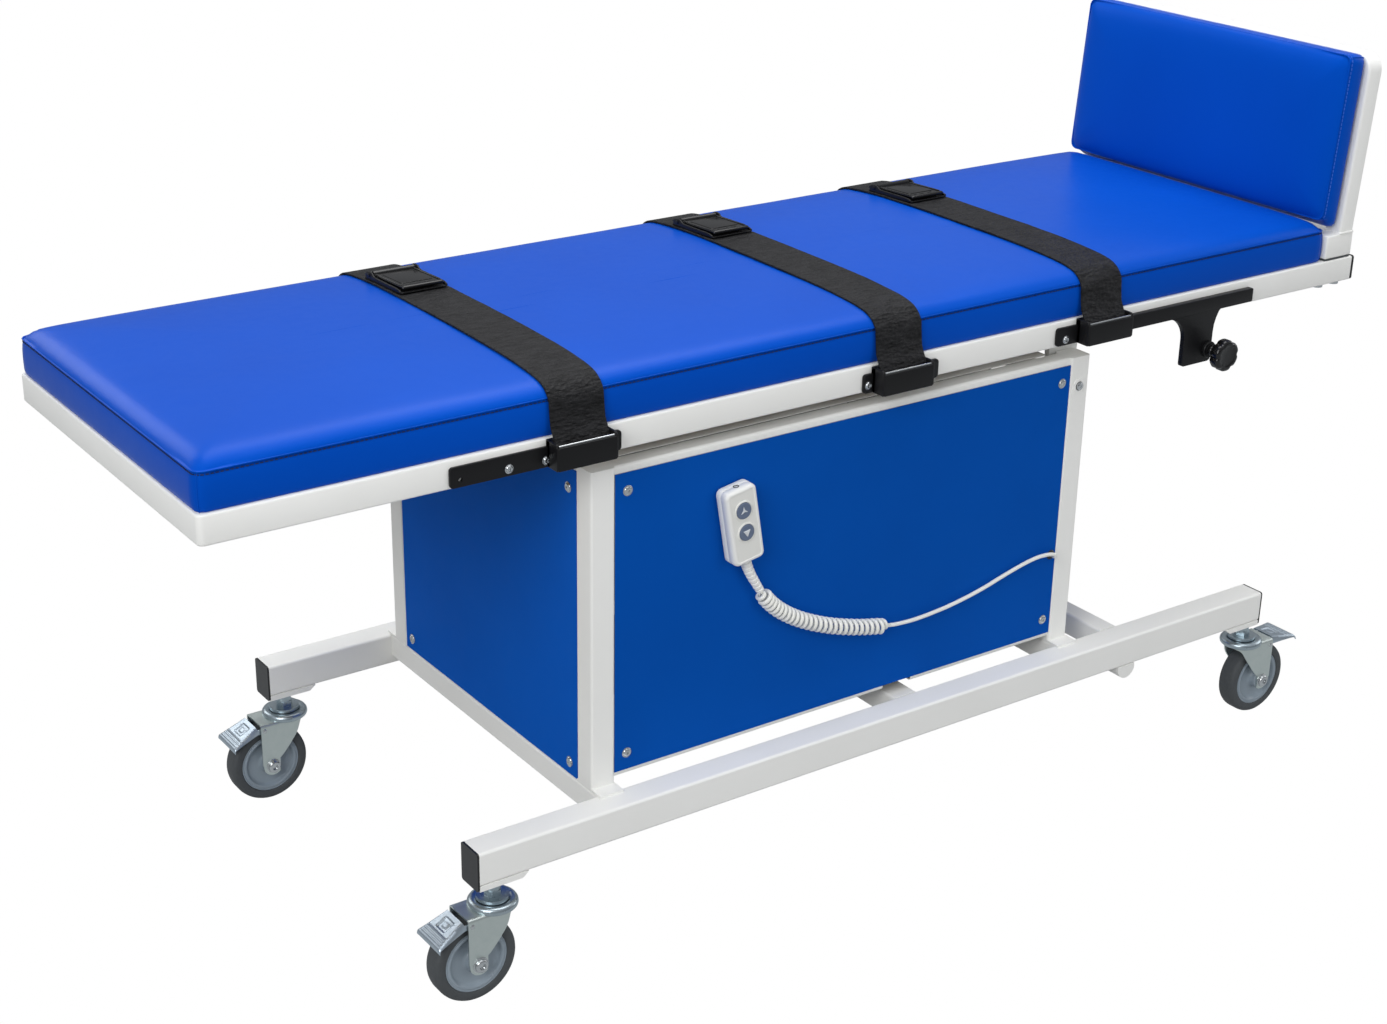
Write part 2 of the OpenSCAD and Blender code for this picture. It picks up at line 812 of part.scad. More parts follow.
module handset_strain_relief() {
    // ribbed sleeve below the case
    ribs = 6;
    bottom = [case_x + handset_l / 2 * sin(case_lean), case_z - handset_l / 2 * cos(case_lean)];
    color("#e6e6e2")
        placed() {
            translate([bottom[0], coil_y, bottom[1]]) rotate([0, 180 - case_lean, 0])
                cylinder(r = relief_r0 + relief_cuff, h = norm([relief_x - bottom[0],
                    relief_z - bottom[1]]), $fn = fine);
            translate([relief_x, coil_y, relief_z]) sphere(r = relief_r0 + relief_cuff, $fn = round_n);
            translate([relief_x, coil_y, relief_z]) rotate([0, relief_tilt, 0]) {
                cylinder(r1 = relief_r0 - relief_core, r2 = relief_r1 - relief_tip, h = relief_l, $fn = fine);
                for (k = [0 : ribs - 1])
                    translate([0, 0, relief_l * (k + rib_share) / ribs])
                        cylinder(r1 = relief_r0 - (relief_r0 - relief_r1) * k / ribs,
                            r2 = relief_r0 - (relief_r0 - relief_r1) * (k + 1) / ribs,
                            h = relief_l / ribs * (1 - rib_share), $fn = round_n);
            }
        }
}

function unit(v) = v / norm(v);
function bez(t) = pow(1 - t, 3) * coil_a + 3 * pow(1 - t, 2) * t * coil_b
    + 3 * (1 - t) * t * t * coil_c + pow(t, 3) * coil_d;
function bez_dir(t) = unit((1 - t) * (1 - t) * (coil_b - coil_a) + 2 * (1 - t) * t * (coil_c - coil_b)
    + t * t * (coil_d - coil_c));
function swell(u) = let (e = min(1, max(0, min(u, coil_turns - u)))) (1 - cos(180 * e)) / 2;

// the curls: the middle line's point and outward direction at turn u
function coil_axis(u) = u < 0 ? coil_a + bez_dir(0) * u * cord_d
    : u > coil_turns ? coil_d + bez_dir(1) * (u - coil_turns) * cord_d : bez(u / coil_turns);
function coil_out(u) = let (w = min(coil_turns, max(0, u)), d = bez_dir(w / coil_turns), side = [0, 1, 0])
    cos(360 * w) * side + sin(360 * w) * cross(d, side);
function coil_point(u) = coil_axis(u) + coil_r * swell(u) * coil_out(u);
coil_start = -1;
coil_steps = coil_turns * coil_rings;
coil_u = concat([coil_start, coil_start / 2], [for (i = [0 : coil_steps]) i / coil_rings],
    [coil_turns - coil_start / 2, coil_turns - coil_start]);
coil_line = [for (u = coil_u) coil_point(u)];
coil_ups = [for (u = coil_u) coil_out(u)];

function way(line, i) = unit(line[min(i + 1, len(line) - 1)] - line[max(i - 1, 0)]);

module hose(line, ups, r, sides) {
    // one closed tube through all rings
    n = len(line);
    points = [for (i = [0 : n - 1])
        let (t = way(line, i), a = unit(ups[i] - (ups[i] * t) * t), b = cross(t, a))
        for (k = [0 : sides - 1]) line[i] + r * cos(360 * k / sides) * a + r * sin(360 * k / sides) * b];
    polyhedron(points = points, faces = concat(
        [[for (k = [0 : sides - 1]) k]],
        [for (i = [0 : n - 2], k = [0 : sides - 1])
            [i * sides + k, (i + 1) * sides + k, (i + 1) * sides + (k + 1) % sides]],
        [for (i = [0 : n - 2], k = [0 : sides - 1])
            [i * sides + k, (i + 1) * sides + (k + 1) % sides, i * sides + (k + 1) % sides]],
        [[for (k = [sides - 1 : -1 : 0]) (n - 1) * sides + k]]));
}

module handset_curly_cord() {
    color("#d8d8d4") placed() hose(coil_line, coil_ups, cord_r, coil_sides);
}

// route of the free lead, from the curls' end into the gland
coil_exit = coil_point(coil_turns - coil_start);
lead_in = coil_exit + bez_dir(1) * cord_d * lead_run_share;
gland_face = -box_half + panel_set - gland_out;
lead_route = [coil_exit, lead_in, [560, -300, 353], [611, -297, 354], [655, -296, 359], [699, -295, 367],
    [740, -295, 378], [778, -296, 388], [806, -297, 393], [829, -298, 393], [842, -297.5, 389.5],
    [cord_hole_x - cord_hole_r, gland_face - cord_d, cord_hole_z], [cord_hole_x - cord_hole_r, gland_face,
        cord_hole_z]];
lead_parts = 3;
function curve(a, b, c, d, t) = 0.5 * (2 * b + (c - a) * t + (2 * a - 5 * b + 4 * c - d) * t * t
    + (3 * b - a - 3 * c + d) * t * t * t);
lead_last = len(lead_route) - 1;
lead_line = concat([lead_route[0]], [for (i = [1 : lead_last - 2], j = [0 : lead_parts - 1])
    curve(lead_route[i - 1], lead_route[i], lead_route[i + 1], lead_route[i + 2], j / lead_parts)],
    [lead_route[lead_last - 1], lead_route[lead_last]]);
lead_ups = [for (p = lead_line) [0, 0, 1]];

module handset_lead() {
    color("#d8d8d4") placed() hose(lead_line, lead_ups, cord_r, lead_sides);
}

module cord_gland() {
    color("#26282a")
        placed() translate([cord_hole_x - cord_hole_r, -box_half + panel_set, cord_hole_z]) rotate([90, 0,
            0]) {
            translate([0, 0, -panel_t]) cylinder(r = cord_hole_r, h = panel_t, $fn = round_n);
            cylinder(r1 = gland_r, r2 = gland_tip_r, h = gland_out, $fn = fine);
            translate([0, 0, -panel_t - gland_back]) cylinder(r = gland_r, h = gland_back, $fn = fine);
        }
}

function line_len(line) = norm_sum(line, 0);
function norm_sum(line, i) = i >= len(line) - 1 ? 0 : norm(line[i + 1] - line[i]) + norm_sum(line, i + 1);
// least distance between the middle lines of one curl and the rest, less the cord
coil_gap = min([for (i = [2 : 2 : len(coil_line) - 2 * coil_rings])
    min([for (j = [i + coil_rings - 3 : i + coil_rings + 3])
        norm(coil_line[i] - coil_line[min(j, len(coil_line) - 1)])])]) - cord_d;
echo(coil_gap_mm = coil_gap, lead_mm = line_len(lead_line), coil_wire_mm = line_len(coil_line));

// platform
rib_h = 30;
rib_w = 30;
end_bar_w = 40;
rib_shares = [0.141, 0.301, 0.46, 0.834];
board_t = 1.4;
board_lift = 0.2;
arm_span = 60;
shaft_r = 14;
ram_head_back = 155;
ram_head_up = 40;
ram_head_x = pivot_x - ram_head_back;
ram_head_z = pivot_z + ram_head_up;
clevis_t = 6;
clevis_y = 17;
clevis_r = 14;

module platform_side_tubes() {
    color("#ddddda")
        placed() {
            both_sides()
                translate([plat_x0 + end_bar_w, plat_half - platform_tube / 2, deck_z + platform_tube / 2])
                    along_x(platform_l - end_bar_w) tube_outline(platform_tube, platform_tube);
        }
}

module platform_cross_members() {
    inner = platform_w - 2 * platform_tube;
    color("#ddddda")
        placed() {
            translate([foot_tube_x + foot_tube_w / 2, 0, deck_z + platform_tube / 2])
                across(inner) tube_outline(end_bar_w, platform_tube);
            // head bar over the full width, its ends closed
            translate([plat_x0 + end_bar_w / 2, 0, deck_z + platform_tube / 2]) {
                across(platform_w) tube_outline(end_bar_w, platform_tube);
                both_sides() translate([0, (platform_w - tube_t) / 2, 0])
                    across(tube_t) rounded(end_bar_w, platform_tube, tube_r);
            }
            for (x = [for (s = rib_shares) plat_x0 + platform_l * s])
                translate([x, 0, deck_top - rib_h / 2])
                    across(inner) tube_outline(rib_w, rib_h, tube_r, tube_t);
            // cross bars over the pivot and over the drive's upper pin
            for (x = [pivot_x, ram_head_x])
                translate([x, 0, deck_z + platform_tube / 2])
                    across(inner) tube_outline(platform_tube, platform_tube);
            // clevis plates for the drive's rod
            for (s = [-1, 1])
                translate([ram_head_x, s * (clevis_y + clevis_t / 2) + clevis_t / 2, 0]) rotate([90, 0, 0])
                    linear_extrude(clevis_t) difference() {
                        hanging_tab(ram_head_z, deck_z, clevis_r, platform_tube / 2);
                        translate([0, ram_head_z]) circle(r = ram_pin_r + run_fit, $fn = fine);
                    }
        }
}

module hanging_tab(z, top, r, w) {
    // tab that hangs from z = top and ends round about its hole at z
    translate([0, z]) circle(r = r, $fn = fine);
    polygon([[-w, top], [w, top], [r, z], [-r, z]]);
}

module pivot_arms() {
    color("#d0d0cc")
        placed() {
            both_sides()
                translate([pivot_x, ear_y + ear_t, 0]) rotate([90, 0, 0]) linear_extrude(ear_t) difference() {
                    hanging_tab(pivot_z, deck_z, ear_r, arm_span / 2);
                    translate([0, pivot_z]) circle(r = pin_r + run_fit, $fn = fine);
                }
            // shaft that ties both arms
            translate([pivot_x, 0, pivot_z]) rotate([90, 0, 0]) difference() {
                cylinder(r = shaft_r, h = 2 * ear_y, center = true, $fn = fine);
                cylinder(r = shaft_r - 2 * tube_t, h = 2 * ear_y + 2 * cut, center = true, $fn = fine);
            }
        }
}

module platform_end_caps() {
    color("#222222")
        placed() both_sides()
            translate([plat_x1, plat_half - platform_tube / 2, deck_z + platform_tube / 2]) {
                along_x(cap_t) rounded(platform_tube, platform_tube, tube_r);
                translate([-plug_l, 0, 0]) along_x(plug_l)
                    rounded(platform_tube - 2 * tube_t - 2 * plug_gap,
                        platform_tube - 2 * tube_t - 2 * plug_gap,
                        tube_r - tube_t);
            }
}

screw_row_shares = [0.032, 0.221, 0.54, 0.8, 0.938];
foot_in = 12;
foot_r = 9;
foot_h = 8;

module platform_screws() {
    // board screws from below and the round feet under the foot end
    color("#b9bfc4")
        placed() both_sides() {
            for (x = [foot_tube_x + foot_in, foot_tube_x + foot_tube_w - foot_in])
                translate([x, plat_half - platform_tube / 2, deck_z - foot_h])
                    cylinder(r = foot_r, h = foot_h, $fn = round_n);
            for (x = [for (s = screw_row_shares) plat_x0 + platform_l * s])
                translate([x, plat_half - platform_tube / 2, deck_z])
                    rotate([180, 0, 0]) screw();
        }
}

mat_inset = 5;
mat_head_in = 1;
mat_x0 = plat_x0 + mat_head_in;
mat_x1 = foot_tube_x;
mat_side_h = 50;
mat_r = 16;
mat_edge = 12;

module mattress_board() {
    color("#8a6a45")
        placed() translate([mat_x0 + mat_edge, -plat_half + mat_edge, deck_top])
            cube([mat_x1 - mat_x0 - 2 * mat_edge, platform_w - 2 * mat_edge, board_t]);
}

// padded block: rings of a rounded rectangle, side walls full, the top crowned
function pad_ring(l, w, r, inset, z, n) = [for (q = [0 : 3], k = [0 : n])
    let (a = 90 * q + 90 * k / n, sx = (q == 0 || q == 3) ? 1 : -1, sy = q < 2 ? 1 : -1,
        rr = max(r - inset, r / 4))
    [sx * (l / 2 - inset - rr) + rr * cos(a), sy * (w / 2 - inset - rr) + rr * sin(a), z]];

module pad(l, w, r, levels, n = 3) {
    // levels are pairs of inset and height, from the base up
    m = 4 * (n + 1);
    rows = len(levels);
    points = [for (e = levels) for (p = pad_ring(l, w, r, e[0], e[1], n)) p];
    polyhedron(points = points, faces = concat(
        [[for (k = [0 : m - 1]) k]],
        [for (i = [0 : rows - 2], k = [0 : m - 1]) [i * m + k, (i + 1) * m + k, (i + 1) * m + (k + 1) % m]],
        [for (i = [0 : rows - 2], k = [0 : m - 1]) [i * m + k, (i + 1) * m + (k + 1) % m,
            i * m + (k + 1) % m]],
        [[for (k = [m - 1 : -1 : 0]) (rows - 1) * m + k]]));
}

mat_w = platform_w - 2 * mat_inset;
// profile of the filled side wall and of the crown above it, as shares of their reach and rise
mat_side_in = 6;
mat_seam_in = 3;
mat_crown_in = 262;
side_in_shares = [1, 0.33, 0, 0.17];
side_up_shares = [0, 0.16, 0.48, 0.88];
crown_in_shares = [0.03, 0.061, 0.107, 0.183, 0.305, 0.496, 0.763, 1];
crown_up_shares = [0.296, 0.5, 0.648, 0.77, 0.867, 0.941, 0.985, 1];
mat_levels = concat(
    [for (i = [0 : len(side_in_shares) - 1]) [mat_side_in * side_in_shares[i],
        mat_side_h * side_up_shares[i]]],
    [[mat_seam_in, mat_side_h]],
    [for (i = [0 : len(crown_in_shares) - 1])
        [mat_crown_in * crown_in_shares[i], mat_side_h + (mattress_h - mat_side_h) * crown_up_shares[i]]]);

module mattress() {
    color("#0a4fd0")
        placed() difference() {
            translate([(mat_x0 + mat_x1) / 2, 0, deck_top + board_lift])
                pad(mat_x1 - mat_x0 - 2 * air, mat_w, mat_r, mat_levels);
            translate([mat_x0 + mat_edge - air, -plat_half + mat_edge - air, deck_top - cut])
                cube([mat_x1 - mat_x0 - 2 * mat_edge + 2 * air, platform_w - 2 * mat_edge + 2 * air,
                    cut + board_t]);
        }
}

// straps: one closed loop over the mattress, hidden ends in the side boxes
strap_x = [-27, 503, 893];
strap_t = 3;
seam_row = 3;
strap_lift = 0.6;
strap_drop_out = 16;
strap_end_up = 12;
strap_box_down = 6;
strap_hip_out = 3.5;
strap_hip_h = 28;
strap_knee_out = 6;
strap_knee_h = 12;
strap_drop_y = plat_half + strap_drop_out;
strap_end_z = deck_z + strap_end_up;
crown = deck_top + board_lift + mattress_h;
// the strap follows the mattress from its middle to the seam, then hangs into its box
strap_over = concat([[0, crown]], [for (i = [len(mat_levels) - 1 : -1 : seam_row])
    [mat_w / 2 - mat_levels[i][0], deck_top + board_lift + mat_levels[i][1]]]);
function strap_way(i) = strap_over[min(i + 1, len(strap_over) - 1)] - strap_over[max(i - 1, 0)];
function strap_half(out) = concat([for (i = [0 : len(strap_over) - 1])
    let (d = strap_way(i)) strap_over[i] + out / norm(d) * [-d[1], d[0]]],
    [[mat_w / 2 + strap_hip_out + out, deck_top + strap_hip_h],
    [mat_w / 2 + strap_knee_out + out, deck_top + strap_knee_h],
    [strap_drop_y - strap_t / 2 + out, deck_top - strap_box_down],
    [strap_drop_y - strap_t / 2 + out, strap_end_z]]);
function backwards(v) = [for (i = [len(v) - 1 : -1 : 0]) v[i]];
function flipped(v) = [for (p = v) [-p[0], p[1]]];
function tail(v) = [for (i = [1 : len(v) - 1]) v[i]];
function strap_line(out) = concat(backwards(flipped(tail(strap_half(out)))), strap_half(out));

module straps() {
    color("#3a3a3a")
        placed() for (x = strap_x)
            translate([x - strap_w / 2, 0, 0]) rotate([90, 0, 90]) linear_extrude(strap_w)
                polygon(concat(strap_line(strap_lift), backwards(strap_line(strap_lift + strap_t))));
}

// strap anchors on both sides of the platform
plate_t = 5;
plate_h = 28;
slot_box_more = 10;
slot_box_w = strap_w + slot_box_more;
slot_wall = 3;
slot_out = 29;
slot_in = 10;
// how far each plate starts before its strap, how long it is and how high it sits
plate_back = [187, 62, 87];
plate_len = [253, 136, 137];
anchor_lifts = [2, 0, 3];
box_h = 37;
hole_in = 15;
hole_up = 12;
hole_x = strap_x[0] - plate_back[0] + hole_in;
hole_z = deck_z + hole_up;
hole_r = 3.3;
// screws of the plates: which strap, how far before it
anchor_screws = [[0, 103], [0, 48], [1, 54], [2, 69]];
anchor_screw_r = 4.5;
anchor_screw_h = 2.4;
slit_out = 12;
slit_up = 8;
slit_w = 3;
slit_h = 10;
slit_deep = 2;

module slot_box(x, z) {
    // open-topped box that holds the strap's end
    translate([x - slot_box_w / 2, -plat_half - slot_out, z])
        difference() {
            cube([slot_box_w, slot_out, box_h]);
            translate([slot_wall, slot_wall, slot_wall])
                cube([slot_box_w - 2 * slot_wall, slot_out - slot_wall - slot_in, box_h]);
        }
}

module strap_anchors() {
    color("#1e1e20")
        placed() both_sides() difference() {
            union() {
                for (i = [0 : 2]) {
                    translate([strap_x[i] - plate_back[i], -plat_half - plate_t, deck_z + anchor_lifts[i]])
                        cube([plate_len[i], plate_t, plate_h]);
                    slot_box(strap_x[i], deck_z + anchor_lifts[i]);
                }
                for (p = anchor_screws)
                    translate([strap_x[p[0]] - p[1], -plat_half - plate_t, hole_z]) rotate([90, 0, 0])
                        cylinder(r = anchor_screw_r, h = anchor_screw_h, $fn = round_n);
            }
            translate([hole_x, -plat_half - plate_t - cut, hole_z]) rotate([-90, 0, 0])
                cylinder(r = hole_r, h = plate_t + 2 * cut, $fn = fine);
            translate([strap_x[0] + slot_box_w / 2 + slit_out, -plat_half - plate_t - cut, deck_z + slit_up])
                cube([slit_w, slit_deep + cut, slit_h]);
        }
}

// accessory bar with its bracket and clamp knob
bar_from_strap = 50;
bar_len = 277;
bar_up = 6;
bar_x0 = strap_x[2] + bar_from_strap;
bar_x1 = bar_x0 + bar_len;
bar_z = deck_z + bar_up;
rail_bar_h = 22;
rail_bar_t = 10;
bracket_t = 14;
neck_back = 145;
neck_w = 63;
neck_down = 77;
neck_x0 = bar_x1 - neck_back;
neck_x1 = neck_x0 + neck_w;
neck_z = deck_z - neck_down;
flare_r = 40;
foot_flare_w = 14;
foot_flare_in = 2;
foot_flare_toe = 3;
foot_flare_h = 36;
knob_in = 8;
knob_down = 57;
knob_x = neck_x1 - knob_in;
knob_z = deck_z - knob_down;
knob_bore = 6;
boss_r = 14;
boss_h = 6;
knob_r = 26;
knob_h = 34;
knob_stem = 16;
knob_pin_in = 2;
knob_hub_r = 10;
knob_rim = 3;
knob_crown = 4;
lobe_out = 4;
lobe_r = 8;

module accessory_bars() {
    color("#1e1e20")
        placed() both_sides() difference() {
            union() {
                translate([bar_x0, -plat_half - rail_bar_t, bar_z]) cube([bar_len, rail_bar_t, rail_bar_h]);
                translate([0, -plat_half, 0]) rotate([90, 0, 0]) linear_extrude(bracket_t) difference() {
                    polygon([[neck_x0 - flare_r, bar_z + rail_bar_h], [neck_x1 + foot_flare_w,
                        bar_z + rail_bar_h],
                        [neck_x1 + foot_flare_w - foot_flare_in, bar_z],
                        [neck_x1 + foot_flare_toe, bar_z - foot_flare_h / 2], [neck_x1, bar_z - foot_flare_h],
                        [neck_x1, neck_z], [neck_x0, neck_z], [neck_x0, bar_z - flare_r],
                            [neck_x0 - flare_r, bar_z]]);
                    translate([neck_x0 - flare_r, bar_z - flare_r]) circle(r = flare_r, $fn = fine);
                }
                translate([knob_x, -plat_half - bracket_t, knob_z]) rotate([90, 0, 0])
                    cylinder(r = boss_r, h = boss_h, $fn = fine);
            }
            translate([knob_x, -plat_half + cut, knob_z]) rotate([90, 0, 0])
                cylinder(r = knob_bore, h = bracket_t + boss_h + 2 * cut, $fn = fine);
        }
}

module knob() {
    lobes = 5;
    translate([knob_x, -plat_half, knob_z]) rotate([90, 0, 0]) {
        translate([0, 0, knob_pin_in]) cylinder(r = knob_bore - run_fit, h = bracket_t + boss_h, $fn = fine);
        translate([0, 0, bracket_t + boss_h + air]) cylinder(r = knob_hub_r, h = knob_stem, $fn = fine);
        translate([0, 0, bracket_t + boss_h + knob_stem]) difference() {
            union() {
                cylinder(r1 = knob_r - knob_rim, r2 = knob_r, h = knob_rim, $fn = fine);
                translate([0, 0, knob_rim]) cylinder(r = knob_r, h = knob_h - knob_rim - knob_crown,
                    $fn = fine);
                translate([0, 0, knob_h - knob_crown])
                    cylinder(r1 = knob_r, r2 = knob_r - knob_crown, h = knob_crown, $fn = fine);
            }
            for (k = [0 : lobes - 1])
                rotate([0, 0, 360 * k / lobes]) translate([knob_r + lobe_out, 0, -cut])
                    cylinder(r = lobe_r, h = knob_h + 2 * cut, $fn = fine);
        }
    }
}

module front_bracket_knob() { color("#161617") placed() knob(); }
module back_bracket_knob() { color("#161617") placed() mirror([0, 1, 0]) knob(); }

// cam buckles on the far side of the straps
buckle_y = 157;
buckle_sink = 1.2;
buckle_z = crown - buckle_sink + strap_lift + strap_t;
buckle_lean = -2.4;
buckle_w = 76;
buckle_l = 112;
cheek_t = 2.5;
cheek_h = 13;
cheek_mid = 8;
cheek_low = 5;
cheek_in = 6;
// the cheek's places about the hinge: foot and ear before it, ear and heel behind it
cheek_x = [12, 5, 6, 15];
buckle_t = 1.6;
roller_out = 11;
roller_down = 2;
roller_r = 3.4;
hinge_y = 38;
hinge_z = 7.5;
hinge_r = 3;
lever_w = 68;
lever_z = 9.5;
lever_t = 3;
lever_l = 92;
lever_eye_r = 5;
lip_down = 3;
lip_w = 5;
lever_pads = [[-24, -34], [-6, -44], [14, -44]];
pad_w = 9;
pad_d = 4;
pad_up = 0.5;
frame_in = 8;
field_end = 70;
field_l = 52;

module at_buckle(i) {
    placed() translate([strap_x[i], buckle_y, buckle_z + air]) rotate([buckle_lean, 0, 0]) children();
}

module buckle_frames() {
    color("#1c1c1e") for (i = [0 : 2]) at_buckle(i) {
        translate([-buckle_w / 2, -buckle_l / 2, 0]) cube([buckle_w, buckle_l, buckle_t]);
        for (s = [0, 1])
            translate([s * (buckle_w - cheek_t) + cheek_t - buckle_w / 2, 0, 0])
                rotate([90, 0, -90]) linear_extrude(cheek_t)
                    polygon([[buckle_l / 2 - cheek_in, 0], [buckle_l / 2 - cheek_in - buckle_t, cheek_low],
                        [cheek_x[0] - hinge_y, cheek_mid], [cheek_x[1] - hinge_y, cheek_h],
                        [-cheek_x[2] - hinge_y, cheek_h], [-cheek_x[3] - hinge_y, cheek_mid],
                        [-cheek_x[3] - hinge_y, 0]]);
        translate([0, hinge_y, hinge_z]) rotate([0, 90, 0])
            cylinder(r = hinge_r, h = buckle_w - cheek_t, center = true, $fn = fine);
        translate([0, hinge_y + roller_out, hinge_z - roller_down]) rotate([0, 90, 0])
            cylinder(r = roller_r, h = buckle_w - cheek_t, center = true, $fn = round_n);
    }
}

module buckle_lever(i) {
    color("#242427") at_buckle(i) difference() {
        union() {
            translate([-lever_w / 2, hinge_y - lever_l, lever_z]) cube([lever_w, lever_l, lever_t]);
            translate([0, hinge_y, hinge_z]) rotate([0, 90, 0])
                cylinder(r = lever_eye_r, h = lever_w, center = true, $fn = fine);
            // lip that the thumb lifts, and three low pads on the plate
            translate([-lever_w / 2, hinge_y - lever_l, lever_z - lip_down])
                cube([lever_w, lip_w, lip_down + lever_t / 2]);
            for (p = lever_pads)
                translate([p[0], p[1], lever_z + lever_t]) cube([pad_w, pad_d, pad_up]);
            translate([frame_in - lever_w / 2, hinge_y - field_end, lever_z + lever_t])
                cube([lever_w - 2 * frame_in, field_l, pad_up]);
        }
        translate([0, hinge_y, hinge_z]) rotate([0, 90, 0])
            cylinder(r = hinge_r + run_fit, h = buckle_w, center = true, $fn = fine);
    }
}

module buckle_lever_1() { buckle_lever(0); }
module buckle_lever_2() { buckle_lever(1); }
module buckle_lever_3() { buckle_lever(2); }

// footboard
frame_d = 32;
frame_leg = 32;
frame_r = 29;
footboard_back_t = 6;
cushion_t = 45;
cushion_z0 = 18;
cushion_in = 6;
cushion_top_in = 2;
cushion_r = 14;
cushion_w = platform_w - 2 * cushion_in;
cushion_h = footboard_h - cushion_z0 - cushion_top_in;
cushion_reach = 95;
cushion_in_shares = [0.053, 0.021, 0, 0, 0.042, 0.126, 0.295, 0.579, 1];
cushion_up_shares = [0, 0.111, 0.267, 0.733, 0.811, 0.889, 0.947, 0.982, 1];
cushion_levels = [for (i = [0 : len(cushion_in_shares) - 1])
    [cushion_reach * cushion_in_shares[i], cushion_t * cushion_up_shares[i]]];
end_plate = 3;
frame_inset = 1;

module at_lean() {
    placed() translate([frame_root_x, 0, frame_root_z]) rotate([0, footboard_lean, 0]) children();
}

module footboard_frame() {
    half = plat_half - frame_inset;
    color("#ddddda") {
        placed() {
            translate([foot_tube_x + foot_tube_w / 2, 0, deck_top + foot_pad + foot_tube_h / 2])
                across(platform_w - 2 * end_plate) tube_outline(foot_tube_w, foot_tube_h);
            both_sides()
                translate([foot_tube_x + foot_tube_w / 2, plat_half - end_plate,
                    deck_top + foot_pad + foot_tube_h / 2])
                    along_y(end_plate) rounded(foot_tube_w, foot_tube_h, tube_r);
        }
        difference() {
            at_lean() translate([-frame_d, 0, 0]) rotate([90, 0, 90]) linear_extrude(frame_d)
                difference() {
                    union() {
                        translate([-half, -end_plate]) square([2 * half, footboard_h + end_plate - frame_r]);
                        translate([-half + frame_r, 0]) square([2 * half - 2 * frame_r, footboard_h]);
                        for (s = [-1, 1]) translate([s * (half - frame_r), footboard_h - frame_r])
                            circle(r = frame_r, $fn = fine);
                    }
                    translate([-half + frame_leg, -2 * end_plate])
                        square([2 * (half - frame_leg), footboard_h - frame_leg + 2 * end_plate]);
                }
            placed() translate([frame_root_x - 3 * frame_d, -plat_half - cut, frame_root_z - foot_tube_h])
                cube([5 * frame_d, platform_w + 2 * cut, foot_tube_h]);
        }
    }
}

module footboard_back() {
    inset = 18;
    color("#2b2b2c")
        at_lean() translate([-frame_d - footboard_back_t, -plat_half + inset, cushion_z0 + inset / 2])
            cube([footboard_back_t, platform_w - 2 * inset, cushion_h - inset]);
}

module footboard_cushion() {
    color("#0a4fd0")
        at_lean() translate([-frame_d - footboard_back_t - board_lift, 0,
            cushion_z0 + cushion_h / 2]) rotate([0, -90, 0])
            pad(cushion_h, cushion_w, cushion_r, cushion_levels);
}

pad_in = 2;

module footboard_feet() {
    // rubber pads under the base tube
    color("#19191a")
        placed() both_sides()
            translate([foot_tube_x + pad_in, plat_half - platform_tube + pad_in, deck_top])
                cube([foot_tube_w - 2 * pad_in, platform_tube - 2 * pad_in, foot_pad]);
}

// drive between base and platform
ram_dx = ram_foot_x - ram_head_x;
ram_dz = ram_foot_z - ram_head_z;
ram_l = norm([ram_dx, ram_dz]);
ram_angle = atan2(ram_dx, ram_dz);
rod_r = 10;
rod_short = 50;
rod_l = ram_l - rod_short;
ram_tube_r = 22;
ram_tube_l = 262;
ram_end_up = 38;
ram_mouth = ram_l - ram_end_up - ram_tube_l;
eye_half = clevis_y - air;
eye_r = 13;
clip_gap = 1;
clip_h = 2.5;
clip_out = 2;
pin_head_out = 3;
pin_head_h = 3;
ring_along = 6;
ring_side = 10;
ring_in = 22.5;
ring_out = 29;
ring_half = 10;
motor_r = 27;
motor_step = 2;
motor_off = 52;
motor_l = 145;
gear_up = 72;
gear_h = 52;
eye_foot = 22;
ram_end = ram_l - ram_end_up;
rod_play = 2;

module at_ram() {
    // Z runs from the upper pin down to the lower one
    placed() translate([ram_head_x, 0, ram_head_z]) rotate([0, ram_angle, 0]) children();
}

module actuator_rod() {
    color("#c8ccce") at_ram() {
        cylinder(r = rod_r, h = rod_l, $fn = fine);
        rotate([90, 0, 0]) cylinder(r = eye_r, h = 2 * eye_half, center = true, $fn = fine);
        rotate([90, 0, 0]) cylinder(r = ram_pin_r, h = 2 * (clevis_y + clevis_t + clip_h), center = true,
            $fn = fine);
        for (s = [0, 180]) rotate([90 + s, 0, 0])
            translate([0, 0, clevis_y + clevis_t + clip_gap])
                cylinder(r = ram_pin_r + clip_out, h = clip_h, $fn = round_n);
    }
}

module actuator_body() {
    color("#2e3236") at_ram() difference() {
        union() {
            translate([0, 0, ram_mouth]) cylinder(r = ram_tube_r, h = ram_end - ram_mouth, $fn = fine);
            // gear case and motor beside the tube
            translate([-motor_off, -motor_r, ram_end - gear_up]) cube([motor_off, 2 * motor_r, gear_h]);
            translate([-motor_off, 0, ram_end - gear_up]) cylinder(r = motor_r, h = gear_h, $fn = fine);
            translate([-motor_off, 0, ram_end - gear_up - motor_l + cut])
                cylinder(r = motor_r - motor_step, h = motor_l, $fn = fine);
        }
        translate([0, 0, ram_mouth - cut])
            cylinder(r = rod_r + run_fit, h = rod_l - ram_mouth + rod_play + cut, $fn = fine);
    }
}

